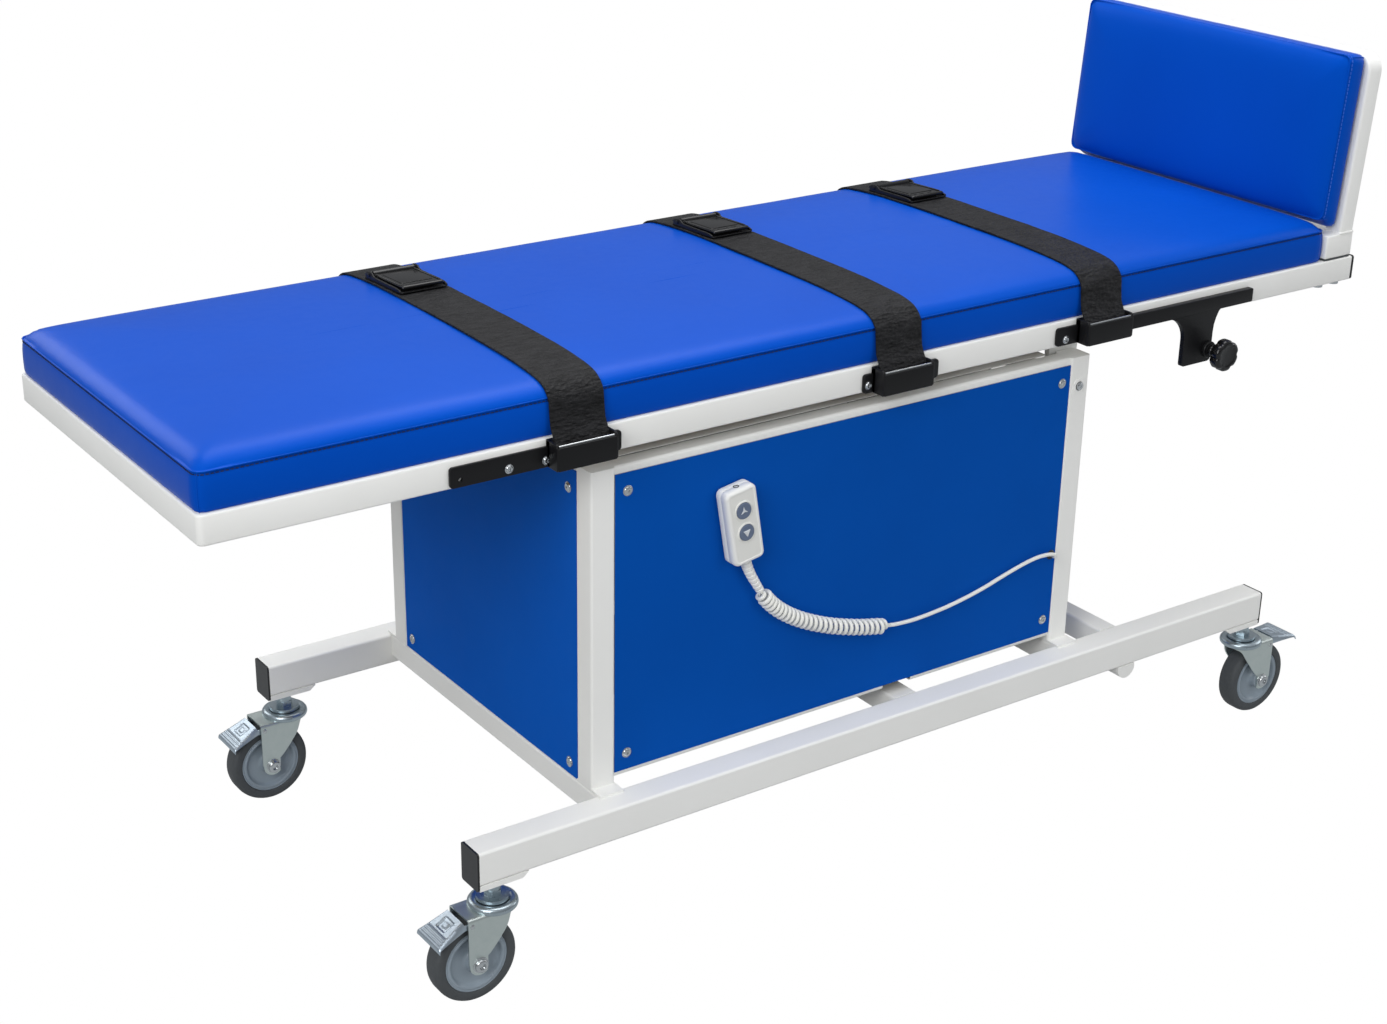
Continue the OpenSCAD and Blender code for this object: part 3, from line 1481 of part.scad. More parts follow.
module actuator_eye() {
    // end ring with room about the lower pin, on the foot of the tube
    color("#2e3236") at_ram() difference() {
        union() {
            translate([-ram_tube_r, -ring_half, ram_end]) cube([2 * ram_tube_r, 2 * ring_half, eye_foot]);
            translate([-ring_side, 0, ram_l + ring_along]) rotate([90, 0, 0])
                cylinder(r = ring_out, h = 2 * ring_half, center = true, $fn = fine);
        }
        translate([-ring_side, 0, ram_l + ring_along]) rotate([90, 0, 0])
            cylinder(r = ring_in, h = 2 * ring_half + 2 * cut, center = true, $fn = fine);
        // the ring stays below the foot of the tube
        translate([-3 * ring_out, -ring_half - cut, ram_end - 2 * ring_out])
            cube([6 * ring_out, 2 * ring_half + 2 * cut, 2 * ring_out]);
    }
}

module actuator_base_pin() {
    color("#b9bfc4") placed() translate([ram_foot_x, 0, ram_foot_z]) rotate([90, 0, 0]) {
        cylinder(r = ram_pin_r, h = 2 * (saddle_y + saddle_t), center = true, $fn = fine);
        for (s = [0, 180]) rotate([s, 0, 0])
            translate([0, 0, saddle_y + saddle_t / 2])
                cylinder(r = ram_pin_r + pin_head_out, h = pin_head_h, $fn = round_n);
    }
}

side_rails();
rail_end_caps();
base_cross_tubes();
box_posts();
box_crossbars();
side_panels();
end_panels();
panel_screws();
pivot_bushes();
control_box();
power_inlet();
handset_hook();
caster_mounts();
actuator_base_pin();
handset_shell();
handset_strain_relief();
handset_curly_cord();
handset_lead();
cord_gland();
up_button();
down_button();
front_head_fork();
front_head_hub();
front_head_tyre();
front_head_pedal();
back_head_fork();
back_head_hub();
back_head_tyre();
back_head_pedal();
front_foot_fork();
front_foot_hub();
front_foot_tyre();
front_foot_pedal();
back_foot_fork();
back_foot_hub();
back_foot_tyre();
back_foot_pedal();
platform_side_tubes();
platform_cross_members();
pivot_arms();
platform_end_caps();
platform_screws();
mattress_board();
mattress();
strap_anchors();
accessory_bars();
front_bracket_knob();
back_bracket_knob();
straps();
buckle_frames();
buckle_lever_1();
buckle_lever_2();
buckle_lever_3();
footboard_frame();
footboard_back();
footboard_cushion();
footboard_feet();
actuator_rod();
actuator_body();
actuator_eye();
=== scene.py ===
import bpy
import bmesh
from math import atan2, copysign, cos, exp, hypot, pi, radians, sin, sqrt
from mathutils import Matrix, Vector, noise
from mathutils.geometry import tessellate_polygon


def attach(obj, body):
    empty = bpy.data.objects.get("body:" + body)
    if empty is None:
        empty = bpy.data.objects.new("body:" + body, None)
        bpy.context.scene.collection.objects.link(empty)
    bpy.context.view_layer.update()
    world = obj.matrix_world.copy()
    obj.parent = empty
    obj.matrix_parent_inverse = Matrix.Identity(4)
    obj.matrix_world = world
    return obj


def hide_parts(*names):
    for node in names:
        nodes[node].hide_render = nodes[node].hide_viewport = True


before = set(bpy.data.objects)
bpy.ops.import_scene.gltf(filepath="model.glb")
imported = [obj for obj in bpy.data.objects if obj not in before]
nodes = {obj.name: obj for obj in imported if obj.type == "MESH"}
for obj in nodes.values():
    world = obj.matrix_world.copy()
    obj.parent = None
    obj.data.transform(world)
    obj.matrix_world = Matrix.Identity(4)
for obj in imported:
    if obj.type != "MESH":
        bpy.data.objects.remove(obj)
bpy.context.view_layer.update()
scene = bpy.context.scene
midX = 0.46772   # the box's head face lies this far on the head side of the origin


def place(x, y, z):
    # a point given in millimetres from the box's head face
    return Vector((x / 1000 - midX, y / 1000, z / 1000))


def mm(x, y, z):
    return Vector((x, y, z)) / 1000


def sine(degrees):
    return sin(radians(degrees))


def cosine(degrees):
    return cos(radians(degrees))


def clamp(value):
    return max(0.0, min(1.0, value))


def pose(point, angle=0.0, axis="Y"):
    return Matrix.Translation(point) @ Matrix.Rotation(radians(angle), 4, axis)


def newObject(name, data):
    obj = bpy.data.objects.new(name, data)
    scene.collection.objects.link(obj)
    return obj


def evaluatedMesh(obj):
    bpy.context.view_layer.update()
    return bpy.data.meshes.new_from_object(obj.evaluated_get(bpy.context.evaluated_depsgraph_get()))


# camera
cameraLook = {"eye": (-1449.5, -2575.1, 1801.3), "azimuth": -35.2, "elevation": 23.0, "roll": 1.0, "lens": 58.35}


def makeCamera(look):
    data = bpy.data.cameras.new("camera")
    data.lens = look["lens"]
    data.sensor_width = 36
    data.clip_end = 60
    cam = newObject("camera", data)
    a, e, r = (radians(look[k]) for k in ("azimuth", "elevation", "roll"))
    back = Vector((sin(a) * cos(e), -cos(a) * cos(e), sin(e)))
    right = Vector((cos(a), sin(a), 0))
    up = back.cross(right)
    rolledRight = right * cos(r) + up * sin(r)
    rolledUp = up * cos(r) - right * sin(r)
    turn = Matrix((rolledRight, rolledUp, back)).transposed()
    cam.rotation_mode = "QUATERNION"
    cam.rotation_quaternion = turn.to_quaternion()
    cam.location = place(*look["eye"])
    scene.camera = cam


makeCamera(cameraLook)
print("camera set")


# colours and shader helpers
def linearColour(code):
    def channel(v):
        return v / 12.92 if v <= 0.04045 else ((v + 0.055) / 1.055) ** 2.4
    return tuple(channel(int(code[i:i + 2], 16) / 255) for i in (1, 3, 5)) + (1.0,)


def addNode(tree, kind, values=None, **settings):
    made = tree.nodes.new(kind)
    for key, value in settings.items():
        setattr(made, key, value)
    for key, value in (values or {}).items():
        made.inputs[key].default_value = value
    return made


def feed(node, key, socket):
    node.id_data.links.new(socket, node.inputs[key])


def startMaterial(name):
    mat = bpy.data.materials.new(name)
    mat.use_nodes = True
    tree = mat.node_tree
    tree.nodes.clear()
    surface = addNode(tree, "ShaderNodeBsdfPrincipled")
    feed(addNode(tree, "ShaderNodeOutputMaterial"), "Surface", surface.outputs["BSDF"])
    coord = addNode(tree, "ShaderNodeTexCoord")
    return mat, surface, coord.outputs["Object"]


def mixColours(factor, low, high):
    ramp = addNode(factor.id_data, "ShaderNodeMix", {6: linearColour(low), 7: linearColour(high)}, data_type="RGBA")
    feed(ramp, 0, factor)
    return ramp.outputs[2]


def stretched(coord, scale):
    mapping = addNode(coord.id_data, "ShaderNodeMapping", {"Scale": scale})
    feed(mapping, "Vector", coord)
    return mapping.outputs["Vector"]


def noiseField(coord, scale, detail=3.0, rough=0.5, stretch=None):
    coord = stretched(coord, stretch) if stretch else coord
    field = addNode(coord.id_data, "ShaderNodeTexNoise", {"Scale": scale, "Detail": detail, "Roughness": rough})
    feed(field, "Vector", coord)
    return field.outputs["Fac"]


def rangeOf(value, low, high, start=0.0, end=1.0):
    limits = {"From Min": start, "From Max": end, "To Min": low, "To Max": high}
    mapped = addNode(value.id_data, "ShaderNodeMapRange", limits)
    feed(mapped, "Value", value)
    return mapped.outputs["Result"]


def addBump(height, strength, distance, under=None):
    bump = addNode(height.id_data, "ShaderNodeBump", {"Strength": strength, "Distance": distance})
    feed(bump, "Height", height)
    if under is not None:
        feed(bump, "Normal", under)
    return bump.outputs["Normal"]


def grained(name, low, high, tone, relief, bump, shine=None, values=None):
    # tone and relief are noise settings, bump a strength and a depth, shine a noise and the roughness it spans
    mat, surface, coord = startMaterial(name)
    feed(surface, "Base Color", mixColours(noiseField(coord, *tone), low, high))
    feed(surface, "Normal", addBump(noiseField(coord, *relief), *bump))
    if shine:
        feed(surface, "Roughness", rangeOf(noiseField(coord, *shine[0]), *shine[1:]))
    for key, value in (values or {}).items():
        surface.inputs[key].default_value = value
    return mat


def powderCoat(name, low, high, rough=0.36, peel=0.35, grain=900, gloss=0.3):
    # sprayed and baked paint: a fine ripple, soft cloudy tone
    return grained(name, low, high, (6.0, 4.0), (grain, 2.0, 0.55), (peel, 0.0002),
                   ((40.0, 5.0), rough - 0.05, rough + 0.07), {"Specular IOR Level": gloss})


def panelCoatShadedInside(name, low, high, axis, face):
    # sheet coated on its outer side only: the inner side is painted grey as painted shade, standing in for the shaded
    # strip seen through the gap under the platform
    mat = powderCoat(name, low, high, 0.55, 0.3, 900, 0.03)
    tree = mat.node_tree
    surface = [n for n in tree.nodes if n.type == "BSDF_PRINCIPLED"][0]
    coord = [n for n in tree.nodes if n.type == "TEX_COORD"][0]
    split = addNode(tree, "ShaderNodeSeparateXYZ")
    feed(split, "Vector", coord.outputs["Object"])
    reach = addNode(tree, "ShaderNodeMath", operation="ABSOLUTE")
    feed(reach, 0, split.outputs[axis])
    outer = addNode(tree, "ShaderNodeMath", {1: face}, operation="GREATER_THAN")
    feed(outer, 0, reach.outputs["Value"])
    old = surface.inputs["Base Color"].links[0].from_socket
    both = addNode(tree, "ShaderNodeMix", data_type="RGBA")
    # painted shade: the grey of the inner side
    both.inputs[6].default_value = linearColour("#7f8284")
    feed(both, 0, outer.outputs["Value"])
    feed(both, 7, old)
    feed(surface, "Base Color", both.outputs[2])
    return mat


def platedSteel(name, low, high, rough=0.28):
    # zinc or nickel on pressed steel, with a faint crystalline cloud
    return grained(name, low, high, (90.0, 6.0, 0.6), (1500.0, 3.0, 0.6), (0.12, 0.0001),
                   ((260.0, 4.0), rough - 0.07, rough + 0.12), {"Metallic": 1.0})


def mouldedPlastic(name, low, high, rough=0.45, texture=1800, depth=0.25):
    # spark-textured moulding with a slight tone drift
    return grained(name, low, high, (20.0, 3.0), (texture, 2.0), (depth, 0.00015),
                   ((120.0, 3.0), rough - 0.06, rough + 0.06))


def upholsteryVinyl(name, low, high):
    # coated fabric: pebble grain of about 1 mm, soft waves of the foam below
    mat, surface, coord = startMaterial(name)
    feed(surface, "Base Color", mixColours(noiseField(coord, 3.0, 3.0), low, high))
    cells = addNode(mat.node_tree, "ShaderNodeTexVoronoi", {"Scale": 950.0, "Randomness": 0.9}, feature="SMOOTH_F1")
    feed(cells, "Vector", coord)
    grain = addBump(cells.outputs["Distance"], 0.16, 0.00025)
    waves = addBump(noiseField(coord, 14.0, 2.0, 0.4), 0.10, 0.004, grain)
    feed(surface, "Normal", waves)
    feed(surface, "Roughness", rangeOf(noiseField(coord, 60.0, 4.0), 0.27, 0.37))
    # the sheen lies on surfaces that face up, upright ones stay deep
    facing = addNode(mat.node_tree, "ShaderNodeSeparateXYZ")
    feed(facing, "Vector", addNode(mat.node_tree, "ShaderNodeNewGeometry").outputs["Normal"])
    feed(surface, "Specular IOR Level", rangeOf(facing.outputs["Z"], 0.07, 0.27, 0.3, 0.9))
    surface.inputs["Specular Tint"].default_value = linearColour("#2a72ff")
    return mat


def pebbledStrap(name, low, high):
    # coated webbing with a leather print, creased across its run
    mat, surface, coord = startMaterial(name)
    cells = addNode(mat.node_tree, "ShaderNodeTexVoronoi", {"Scale": 230.0, "Randomness": 1.0}, feature="F1")
    feed(cells, "Vector", stretched(coord, (0.6, 1.0, 1.0)))
    crease = noiseField(coord, 85.0, 5.0, 0.7, (0.4, 1.6, 1.6))
    # painted sheen: the base colour is lighter along the crease ridges
    ridge = rangeOf(crease, 0.0, 1.0, 0.35, 0.62)
    feed(surface, "Base Color", mixColours(ridge, low, high))
    grain = addBump(cells.outputs["Distance"], 0.9, 0.0018)
    feed(surface, "Normal", addBump(crease, 0.9, 0.004, grain))
    feed(surface, "Roughness", rangeOf(noiseField(coord, 200.0, 3.0), 0.38, 0.56))
    surface.inputs["Specular IOR Level"].default_value = 0.2
    return mat


whiteCoat = powderCoat("white powder coat", "#f1f1ed", "#fafaf7")
frontBlueCoat = panelCoatShadedInside("blue powder coat", "#024ca8", "#0354b5", "Y", 0.2865)
# painted light: the end panels take a lighter copy of the side panels' blue, for the light that falls on the end
endBlueCoatLit = panelCoatShadedInside("blue powder coat end", "#0456bb", "#075fc8", "X", 0.4225)
blackCoat = powderCoat("black powder coat", "#101011", "#19191b", 0.38, 0.5, 1100, 0.22)
zincPlate = platedSteel("zinc-plated steel", "#9fb0ba", "#c3ccd0")
# painted highlight: the pedal's pressed zinc is a lighter copy of the zinc plate, for the bright highlights on the
# pedal
zincPressedLit = platedSteel("pressed zinc", "#b2c1ce", "#d0dae2", 0.36)
# the fork's zinc is lighter than the race's: partly its own pale passivated tint, partly painted light for the weak
# light on the fork's side
zincPaleLit = platedSteel("passivated zinc", "#cbd6d3", "#dbe2df", 0.4)
brightSteel = platedSteel("nickel-plated steel", "#b9bdc0", "#dadcdd", 0.2)
blueVinyl = upholsteryVinyl("blue upholstery vinyl", "#0347b2", "#0551c2")
strapLeather = pebbledStrap("coated strap webbing", "#0d0d0e", "#242426")
casePlastic = mouldedPlastic("light grey case plastic", "#ecece8", "#f5f5f2", 0.4, 1500, 0.2)
facePlastic = mouldedPlastic("handset face foil", "#e4e4df", "#eeeee9", 0.5, 1200, 0.15)
buttonRubber = mouldedPlastic("blue-grey silicone", "#5d6a82", "#6b7890", 0.5)
arrowPlastic = mouldedPlastic("pale moulded arrow", "#cfd3d8", "#dfe2e5", 0.4)
cordSheath = mouldedPlastic("cord sheath", "#edede6", "#f5f5f0", 0.42)
blackPlastic = mouldedPlastic("black moulded plastic", "#131314", "#1d1d1e", 0.34)
knobPlastic = mouldedPlastic("glossy black plastic", "#0a0a0b", "#131314", 0.2, 900, 0.05)
hubPlastic = mouldedPlastic("grey wheel plastic", "#85929d", "#99a6b0", 0.36)
treadGrey = grained("grey tread rubber", "#404346", "#505456", (180.0, 6.0, 0.65), (900.0, 4.0), (0.3, 0.0003),
                    None, {"Roughness": 0.62})
woodGrain = (30.0, 6.0, 0.6, (0.2, 4.0, 4.0))
boardWood = grained("birch plywood", "#a98a5f", "#c2a274", woodGrain, woodGrain, (0.2, 0.0005), None,
                    {"Roughness": 0.7})
darkHousing = mouldedPlastic("dark drive housing", "#26292c", "#323639", 0.5)
threadPale = mouldedPlastic("light blue thread", "#1c59c8", "#2f6bd8", 0.5)
threadBlue = mouldedPlastic("dark blue thread", "#021a4c", "#03235e", 0.6)
socketBlack = mouldedPlastic("shadowed socket", "#0c0c0d", "#151516", 0.6)
print("materials made")


# mesh helpers
def plainMesh(name, verts, faces, edges=()):
    mesh = bpy.data.meshes.new(name)
    mesh.from_pydata([tuple(v) for v in verts], edges, faces)
    return mesh


def smoothed(mesh, angle):
    mesh.polygons.foreach_set("use_smooth", [True] * len(mesh.polygons))
    if angle < 180:
        mesh.set_sharp_from_angle(angle=radians(angle))


def riding(name, mesh, body, smooth):
    obj = newObject(name.replace(" ", "-"), mesh)
    smoothed(mesh, smooth)
    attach(obj, body)
    return obj


def faceOut(mesh, merge=0.0):
    work = bmesh.new()
    work.from_mesh(mesh)
    if merge:
        bmesh.ops.remove_doubles(work, verts=work.verts, dist=merge)
    bmesh.ops.recalc_face_normals(work, faces=work.faces)
    work.to_mesh(mesh)
    work.free()


def meshObject(name, verts, faces, mat, body, slotName, smooth=40, node=None):
    # node names the solid of the frame that this piece takes the place of
    mesh = plainMesh(name, verts, faces)
    faceOut(mesh, 0.00002)
    mesh.materials.append(mat)
    obj = riding(name, mesh, body, smooth)
    if node:
        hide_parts(node)
    return obj


def gridFaces(rows, columns, closedColumns=True, closedRows=False):
    faces = []
    for i in range(rows if closedRows else rows - 1):
        for j in range(columns if closedColumns else columns - 1):
            a, b = i * columns + j, i * columns + (j + 1) % columns
            c, d = ((i + 1) % rows) * columns + (j + 1) % columns, ((i + 1) % rows) * columns + j
            faces.append((a, b, c, d))
    return faces


def capped(rows, columns, inward=False):
    # a grid of rings that is closed at both ends
    ends = [tuple(range(columns)), tuple((rows - 1) * columns + k for k in reversed(range(columns)))]
    return gridFaces(rows, columns) + [end[::-1 if inward else 1] for end in ends]


def slab(low, high):
    # solid between two outlines with the same count of points
    n = len(low)
    sides = [(i, (i + 1) % n, n + (i + 1) % n, n + i) for i in range(n)]
    return low + high, sides + [tuple(range(n, 2 * n)), tuple(reversed(range(n)))]


def lathe(profile, origin, axis, steps=48):
    # profile holds (radius, height) pairs along the axis, in millimetres
    axis = Vector(axis).normalized()
    side = Vector((0, 0, 1)) if abs(axis.z) < 0.9 else Vector((1, 0, 0))
    side = (side - axis * side.dot(axis)).normalized()
    other = axis.cross(side)
    verts = []
    for r, h in profile:
        for k in range(steps):
            a = 2 * pi * k / steps
            verts.append(origin + axis * (h / 1000) + (side * cos(a) + other * sin(a)) * (r / 1000))
    return verts, capped(len(profile), steps)


def closedLathe(profile, origin, axis, steps):
    # the profile's end joins its start
    verts, faces = lathe(profile, origin, axis, steps)
    last = (len(profile) - 1) * steps
    return verts, faces[:-2] + [(last + k, last + (k + 1) % steps, (k + 1) % steps, k) for k in range(steps)]


def roundedBox(size, r, steps=3):
    # box of full sizes about the origin, edges rounded by r, all in millimetres
    work = bmesh.new()
    bmesh.ops.create_cube(work, size=1.0)
    for v in work.verts:
        v.co = mm(v.co.x * size[0], v.co.y * size[1], v.co.z * size[2])
    bmesh.ops.bevel(work, geom=list(work.edges), offset=r / 1000, segments=steps, profile=0.5, affect="EDGES")
    verts = [v.co.copy() for v in work.verts]
    work.verts.ensure_lookup_table()
    faces = [tuple(v.index for v in f.verts) for f in work.faces]
    work.free()
    return verts, faces


def joined(parts):
    # parts are (verts, faces) pairs
    verts, faces = [], []
    for v, f in parts:
        base = len(verts)
        verts.extend(v)
        faces.extend(tuple(i + base for i in q) for q in f)
    return verts, faces


def moved(part, matrix):
    return [matrix @ v for v in part[0]], part[1]


def boxAt(size, centre, ease):
    return moved(roundedBox(size, ease), pose(mm(*centre)))


def tubeMesh(line, r, sides, ups):
    # closed tube through the points, its rings square to the line
    verts = []
    n = len(line)
    for i, p in enumerate(line):
        t = (line[min(i + 1, n - 1)] - line[max(i - 1, 0)]).normalized()
        a = (ups[i] - t * ups[i].dot(t)).normalized()
        b = t.cross(a)
        for k in range(sides):
            w = 2 * pi * k / sides
            verts.append(p + (a * cos(w) + b * sin(w)) * r)
    return verts, capped(n, sides, True)


# curly cord and its lead: the same route as the solids; diameter and coil radius in metres
cordSizes = {"diameter": 0.0060, "coilRadius": 0.0094, "turns": 28, "coilY": -301, "reliefTop": (246, 515),
             "reliefRun": 51.6, "reliefTilt": 148.4, "ringsPerTurn": 20, "sides": 10,
             "controls": ((310, 411), (417, 373), (506, 358)),
             "leadRoute": ((560, -300, 353), (611, -297, 354), (655, -296, 359), (699, -295, 367), (740, -295, 378),
                           (778, -296, 388), (806, -297, 393), (829, -298, 393), (842, -297.5, 389.5)),
             "hole": (844.5, -290, 385)}


def coilCurve(s):
    top, tilt = s["reliefTop"], s["reliefTilt"]
    ends = [(top[0] + s["reliefRun"] * sine(tilt), top[1] + s["reliefRun"] * cosine(tilt)), *s["controls"]]
    return [place(x, s["coilY"], z) for x, z in ends]


def bezierPoint(c, t):
    return c[0] * (1 - t) ** 3 + c[1] * 3 * (1 - t) ** 2 * t + c[2] * 3 * (1 - t) * t * t + c[3] * t ** 3


def bezierWay(c, t):
    return ((c[1] - c[0]) * (1 - t) ** 2 + (c[2] - c[1]) * 2 * (1 - t) * t + (c[3] - c[2]) * t * t).normalized()


def coilLine(s):
    c, n, d = coilCurve(s), s["turns"], s["diameter"]
    steps = [-1, -0.5] + [i / s["ringsPerTurn"] for i in range(n * s["ringsPerTurn"] + 1)] + [n + 0.5, n + 1]
    line, ups = [], []
    for u in steps:
        w = min(n, max(0, u))
        way = bezierWay(c, w / n)
        side = Vector((0, 1, 0))
        out = side * cos(2 * pi * w) + way.cross(side) * sin(2 * pi * w)
        swell = (1 - cos(pi * min(1, max(0, min(u, n - u))))) / 2
        axis = c[0] + way * (u * d) if u < 0 else c[3] + way * ((u - n) * d) if u > n else bezierPoint(c, u / n)
        line.append(axis + out * (s["coilRadius"] * swell))
        ups.append(out)
    return line, ups


def splinePoint(a, b, c, d, t):
    return (b * 2 + (c - a) * t + (a * 2 - b * 5 + c * 4 - d) * t * t + (b * 3 - a - c * 3 + d) * t ** 3) * 0.5


def leadLine(s, start, way):
    route = [start, start + way * (s["diameter"] * 1.5)] + [place(*p) for p in s["leadRoute"]]
    hole = place(*s["hole"])
    route += [hole - Vector((0, s["diameter"], 0)), hole]
    line = [route[0]]
    for i in range(1, len(route) - 2):
        line += [splinePoint(route[i - 1], route[i], route[i + 1], route[i + 2], j / 8) for j in range(8)]
    return line + route[-2:]


def lineLength(line):
    return sum((b - a).length for a, b in zip(line, line[1:]))


coilPoints, coilUps = coilLine(cordSizes)
leadPoints = leadLine(cordSizes, coilPoints[-1], bezierWay(coilCurve(cordSizes), 1))
for name, line, ups, node in (("handset curly cord", coilPoints, coilUps, "handset_curly_cord"),
                              ("handset lead", leadPoints, [Vector((0, 0, 1))] * len(leadPoints), "handset_lead")):
    thick = cordSizes["diameter"]
    cord = meshObject(name, *tubeMesh(line, thick / 2, cordSizes["sides"], ups), cordSheath, "base", "cord_sheath", 180,
                      node)
print("cords made:", round(lineLength(coilPoints), 3), round(lineLength(leadPoints), 3))


# mattress and footboard cushion
mattress = {"length": 1937.4, "width": 586, "height": 77, "corner": 15, "step": 9, "bulge": 1.2, "skirt": 0,
            "centreX": 426, "baseZ": 772.2, "seamHeight": 50, "profile":
            ((3.4, 0), (1.5, 2.4), (0.4, 8), (0, 18), (0, 27), (0.4, 36), (1.2, 43), (2.4, 47.4), (3.4, 49.2),
             (2.0, 50.4), (1.5, 51.6), (2.4, 53.4), (4.2, 55.6), (7.2, 58.6), (11.5, 61.8), (17, 64.6), (24, 66.8),
             (33, 68.6), (44, 70.1), (58, 71.5), (76, 73), (98, 74.3), (125, 75.4), (158, 76.2), (195, 76.7),
             (235, 76.95), (272, 77))}
padCushion = {"length": 266, "width": 580, "height": 45, "corner": 13, "step": 7, "bulge": 1.0, "skirt": 13,
              "seamHeight": 34, "profile":
              ((4, 0), (1.6, 3), (0.3, 8), (0, 15), (0, 23), (0.5, 29), (1.6, 32.2), (2.9, 33.8), (1.9, 35), (1.6, 36),
               (3.0, 37.6), (6, 39.8), (11, 42.2), (19, 44.6), (30, 46.4), (46, 47.9), (66, 49), (92, 49.7), (120, 50))}


# how the covers lie: lengths of waves and folds, reach of the corners' pull, fades of the skirt
cover = {"wave": 160, "pull": 0.8, "band": 2, "taper": 0.02, "leastRim": 0.25, "cornerReach": 42, "cornerDrop": 5.0,
         "fold": 0.8, "folds": 19, "foldStart": 5, "foldReach": 40, "bulgeWave": 130, "bulgeStart": 60,
         "skirtReach": 60, "skirtFade": 40, "skirtHeight": 22}


def ringPoint(half, r, a):
    # a runs once round a rounded rectangle by its length; gives the point and the outward way
    w, h = half
    r = max(min(r, w, h), 0.001)
    straight = (2 * (w - r), 2 * (h - r))
    arc = pi * r / 2
    total = 2 * (straight[0] + straight[1]) + 4 * arc
    s = (a % 1.0) * total
    spots = ((w, -(h - r), 0, straight[1]), (w - r, h - r, 0, arc), (w - r, h, 90, straight[0]),
             (-(w - r), h - r, 90, arc), (-w, h - r, 180, straight[1]), (-(w - r), -(h - r), 180, arc),
             (-(w - r), -h, 270, straight[0]), (w - r, -(h - r), 270, arc))
    for i, (x, y, angle, length) in enumerate(spots):
        if s <= length or i == 7:
            t = radians(angle)
            if i % 2 == 0:
                return x - sin(t) * s, y + cos(t) * s, cos(t), sin(t)
            t += s / max(r, 0.001)
            return x + r * cos(t), y + r * sin(t), cos(t), sin(t)
        s -= length


def cushionRing(c, more=0):
    # points round the cushion, with more of them past the start
    count = int(2 * (c["length"] + c["width"]) / c["step"])
    return [ringPoint((c["length"] / 2, c["width"] / 2), c["corner"], (k + 0.5) / count) for k in range(count + more)]


def sidePull(c, px, py, height, seed):
    # sides draw in a little between the corners, with slow waves
    wave = noise.noise(Vector((px / cover["wave"], py / cover["wave"], seed)))
    return cover["pull"] * sin(pi * height / (c["seamHeight"] + 1)) * wave


def cushionMesh(c, seed):
    # rings of a rounded rectangle rise from the base over the seam to the crown
    half = (c["length"] / 2, c["width"] / 2)
    verts = []
    outer = cushionRing(c)
    for inset, height in c["profile"]:
        for x, y, nx, ny in outer:
            pz = height
            if height <= c["seamHeight"] + cover["band"]:
                px, py = x - nx * inset, y - ny * inset
                pull = sidePull(c, px, py, height, seed)
                px, py = px + nx * pull, py + ny * pull
            else:
                limX, limY = half[0] - inset, half[1] - inset
                px = max(-limX, min(limX, x * (1 - inset / half[0] * cover["taper"])))
                py = max(-limY, min(limY, y))
                rim = c["corner"] * max(cover["leastRim"], 1 - min(1.0, inset / min(half)))
                cx, cy = max(0, abs(px) - (limX - rim)), max(0, abs(py) - (limY - rim))
                reach = hypot(cx, cy)
                if reach > rim and reach > 0:
                    px = copysign(abs(px) - cx + cx * rim / reach, px)
                    py = copysign(abs(py) - cy + cy * rim / reach, py)
                dx, dy = half[0] - abs(px), half[1] - abs(py)
                # corners are pulled down by the seam, the middle stays full
                meet = exp(-dx / cover["cornerReach"]) * exp(-dy / cover["cornerReach"])
                pz -= cover["cornerDrop"] * meet
                # short folds fan out from each corner
                turn = sin(atan2(dy + 1, dx + 1) * cover["folds"] + seed)
                pz += (cover["fold"] * meet * turn * min(1, inset / cover["foldStart"])
                       * exp(-inset / cover["foldReach"]))
                wide = cover["bulgeWave"]
                rise = noise.noise(Vector((px / wide, py / wide, seed + 5)))
                pz += c["bulge"] * rise * min(1, inset / cover["bulgeStart"])
            past = cover["skirtReach"] - half[0] - px
            if c["skirt"] and past > 0:
                # the back of the lower end reaches down behind the mattress
                px -= c["skirt"] * (1 - min(1, pz / cover["skirtHeight"]) ** 2) * min(1, past / cover["skirtFade"])
            verts.append(mm(px, py, pz))
    return verts, capped(len(c["profile"]), len(outer), True)


def makeCushion(name, c, matrix, body, node, seed):
    verts, faces = cushionMesh(c, seed)
    meshObject(name, [matrix @ v for v in verts], faces, blueVinyl, body, "vinyl_blue", 180, node)


mattressPlace = pose(place(mattress["centreX"], 0, mattress["baseZ"]))
leanPlace = pose(place(1457, 0, 814), 4.5)
padPlace = leanPlace @ pose(Vector((-0.0382, 0, 0.151)), -90)
makeCushion("mattress pad", mattress, mattressPlace, "platform", "mattress", 1.7)
makeCushion("footboard pad", padCushion, padPlace, "platform", "footboard_cushion", 8.3)
print("cushions made")


# repeats by geometry nodes: stitches along a seam, fasteners at marked points
def startTree(name, sockets):
    tree = bpy.data.node_groups.new(name, "GeometryNodeTree")
    for label, kind in (("Geometry", "Geometry"), *sockets):
        tree.interface.new_socket(label, in_out="INPUT", socket_type="NodeSocket" + kind)
    tree.interface.new_socket("Geometry", in_out="OUTPUT", socket_type="NodeSocketGeometry")
    return tree, addNode(tree, "NodeGroupInput"), addNode(tree, "GeometryNodeInstanceOnPoints")


def endTree(tree, start, dots, material, rows):
    # wires the rows, makes the instances real and gives them their material
    real, finish = addNode(tree, "GeometryNodeRealizeInstances"), addNode(tree, "GeometryNodeSetMaterial")
    rows += ((real, "Geometry", dots, "Instances"), (finish, "Geometry", real, "Geometry"),
             (finish, "Material", start, material), (addNode(tree, "NodeGroupOutput"), "Geometry", finish, "Geometry"))
    for node, key, source, output in rows:
        feed(node, key, source.outputs[output])
    return tree


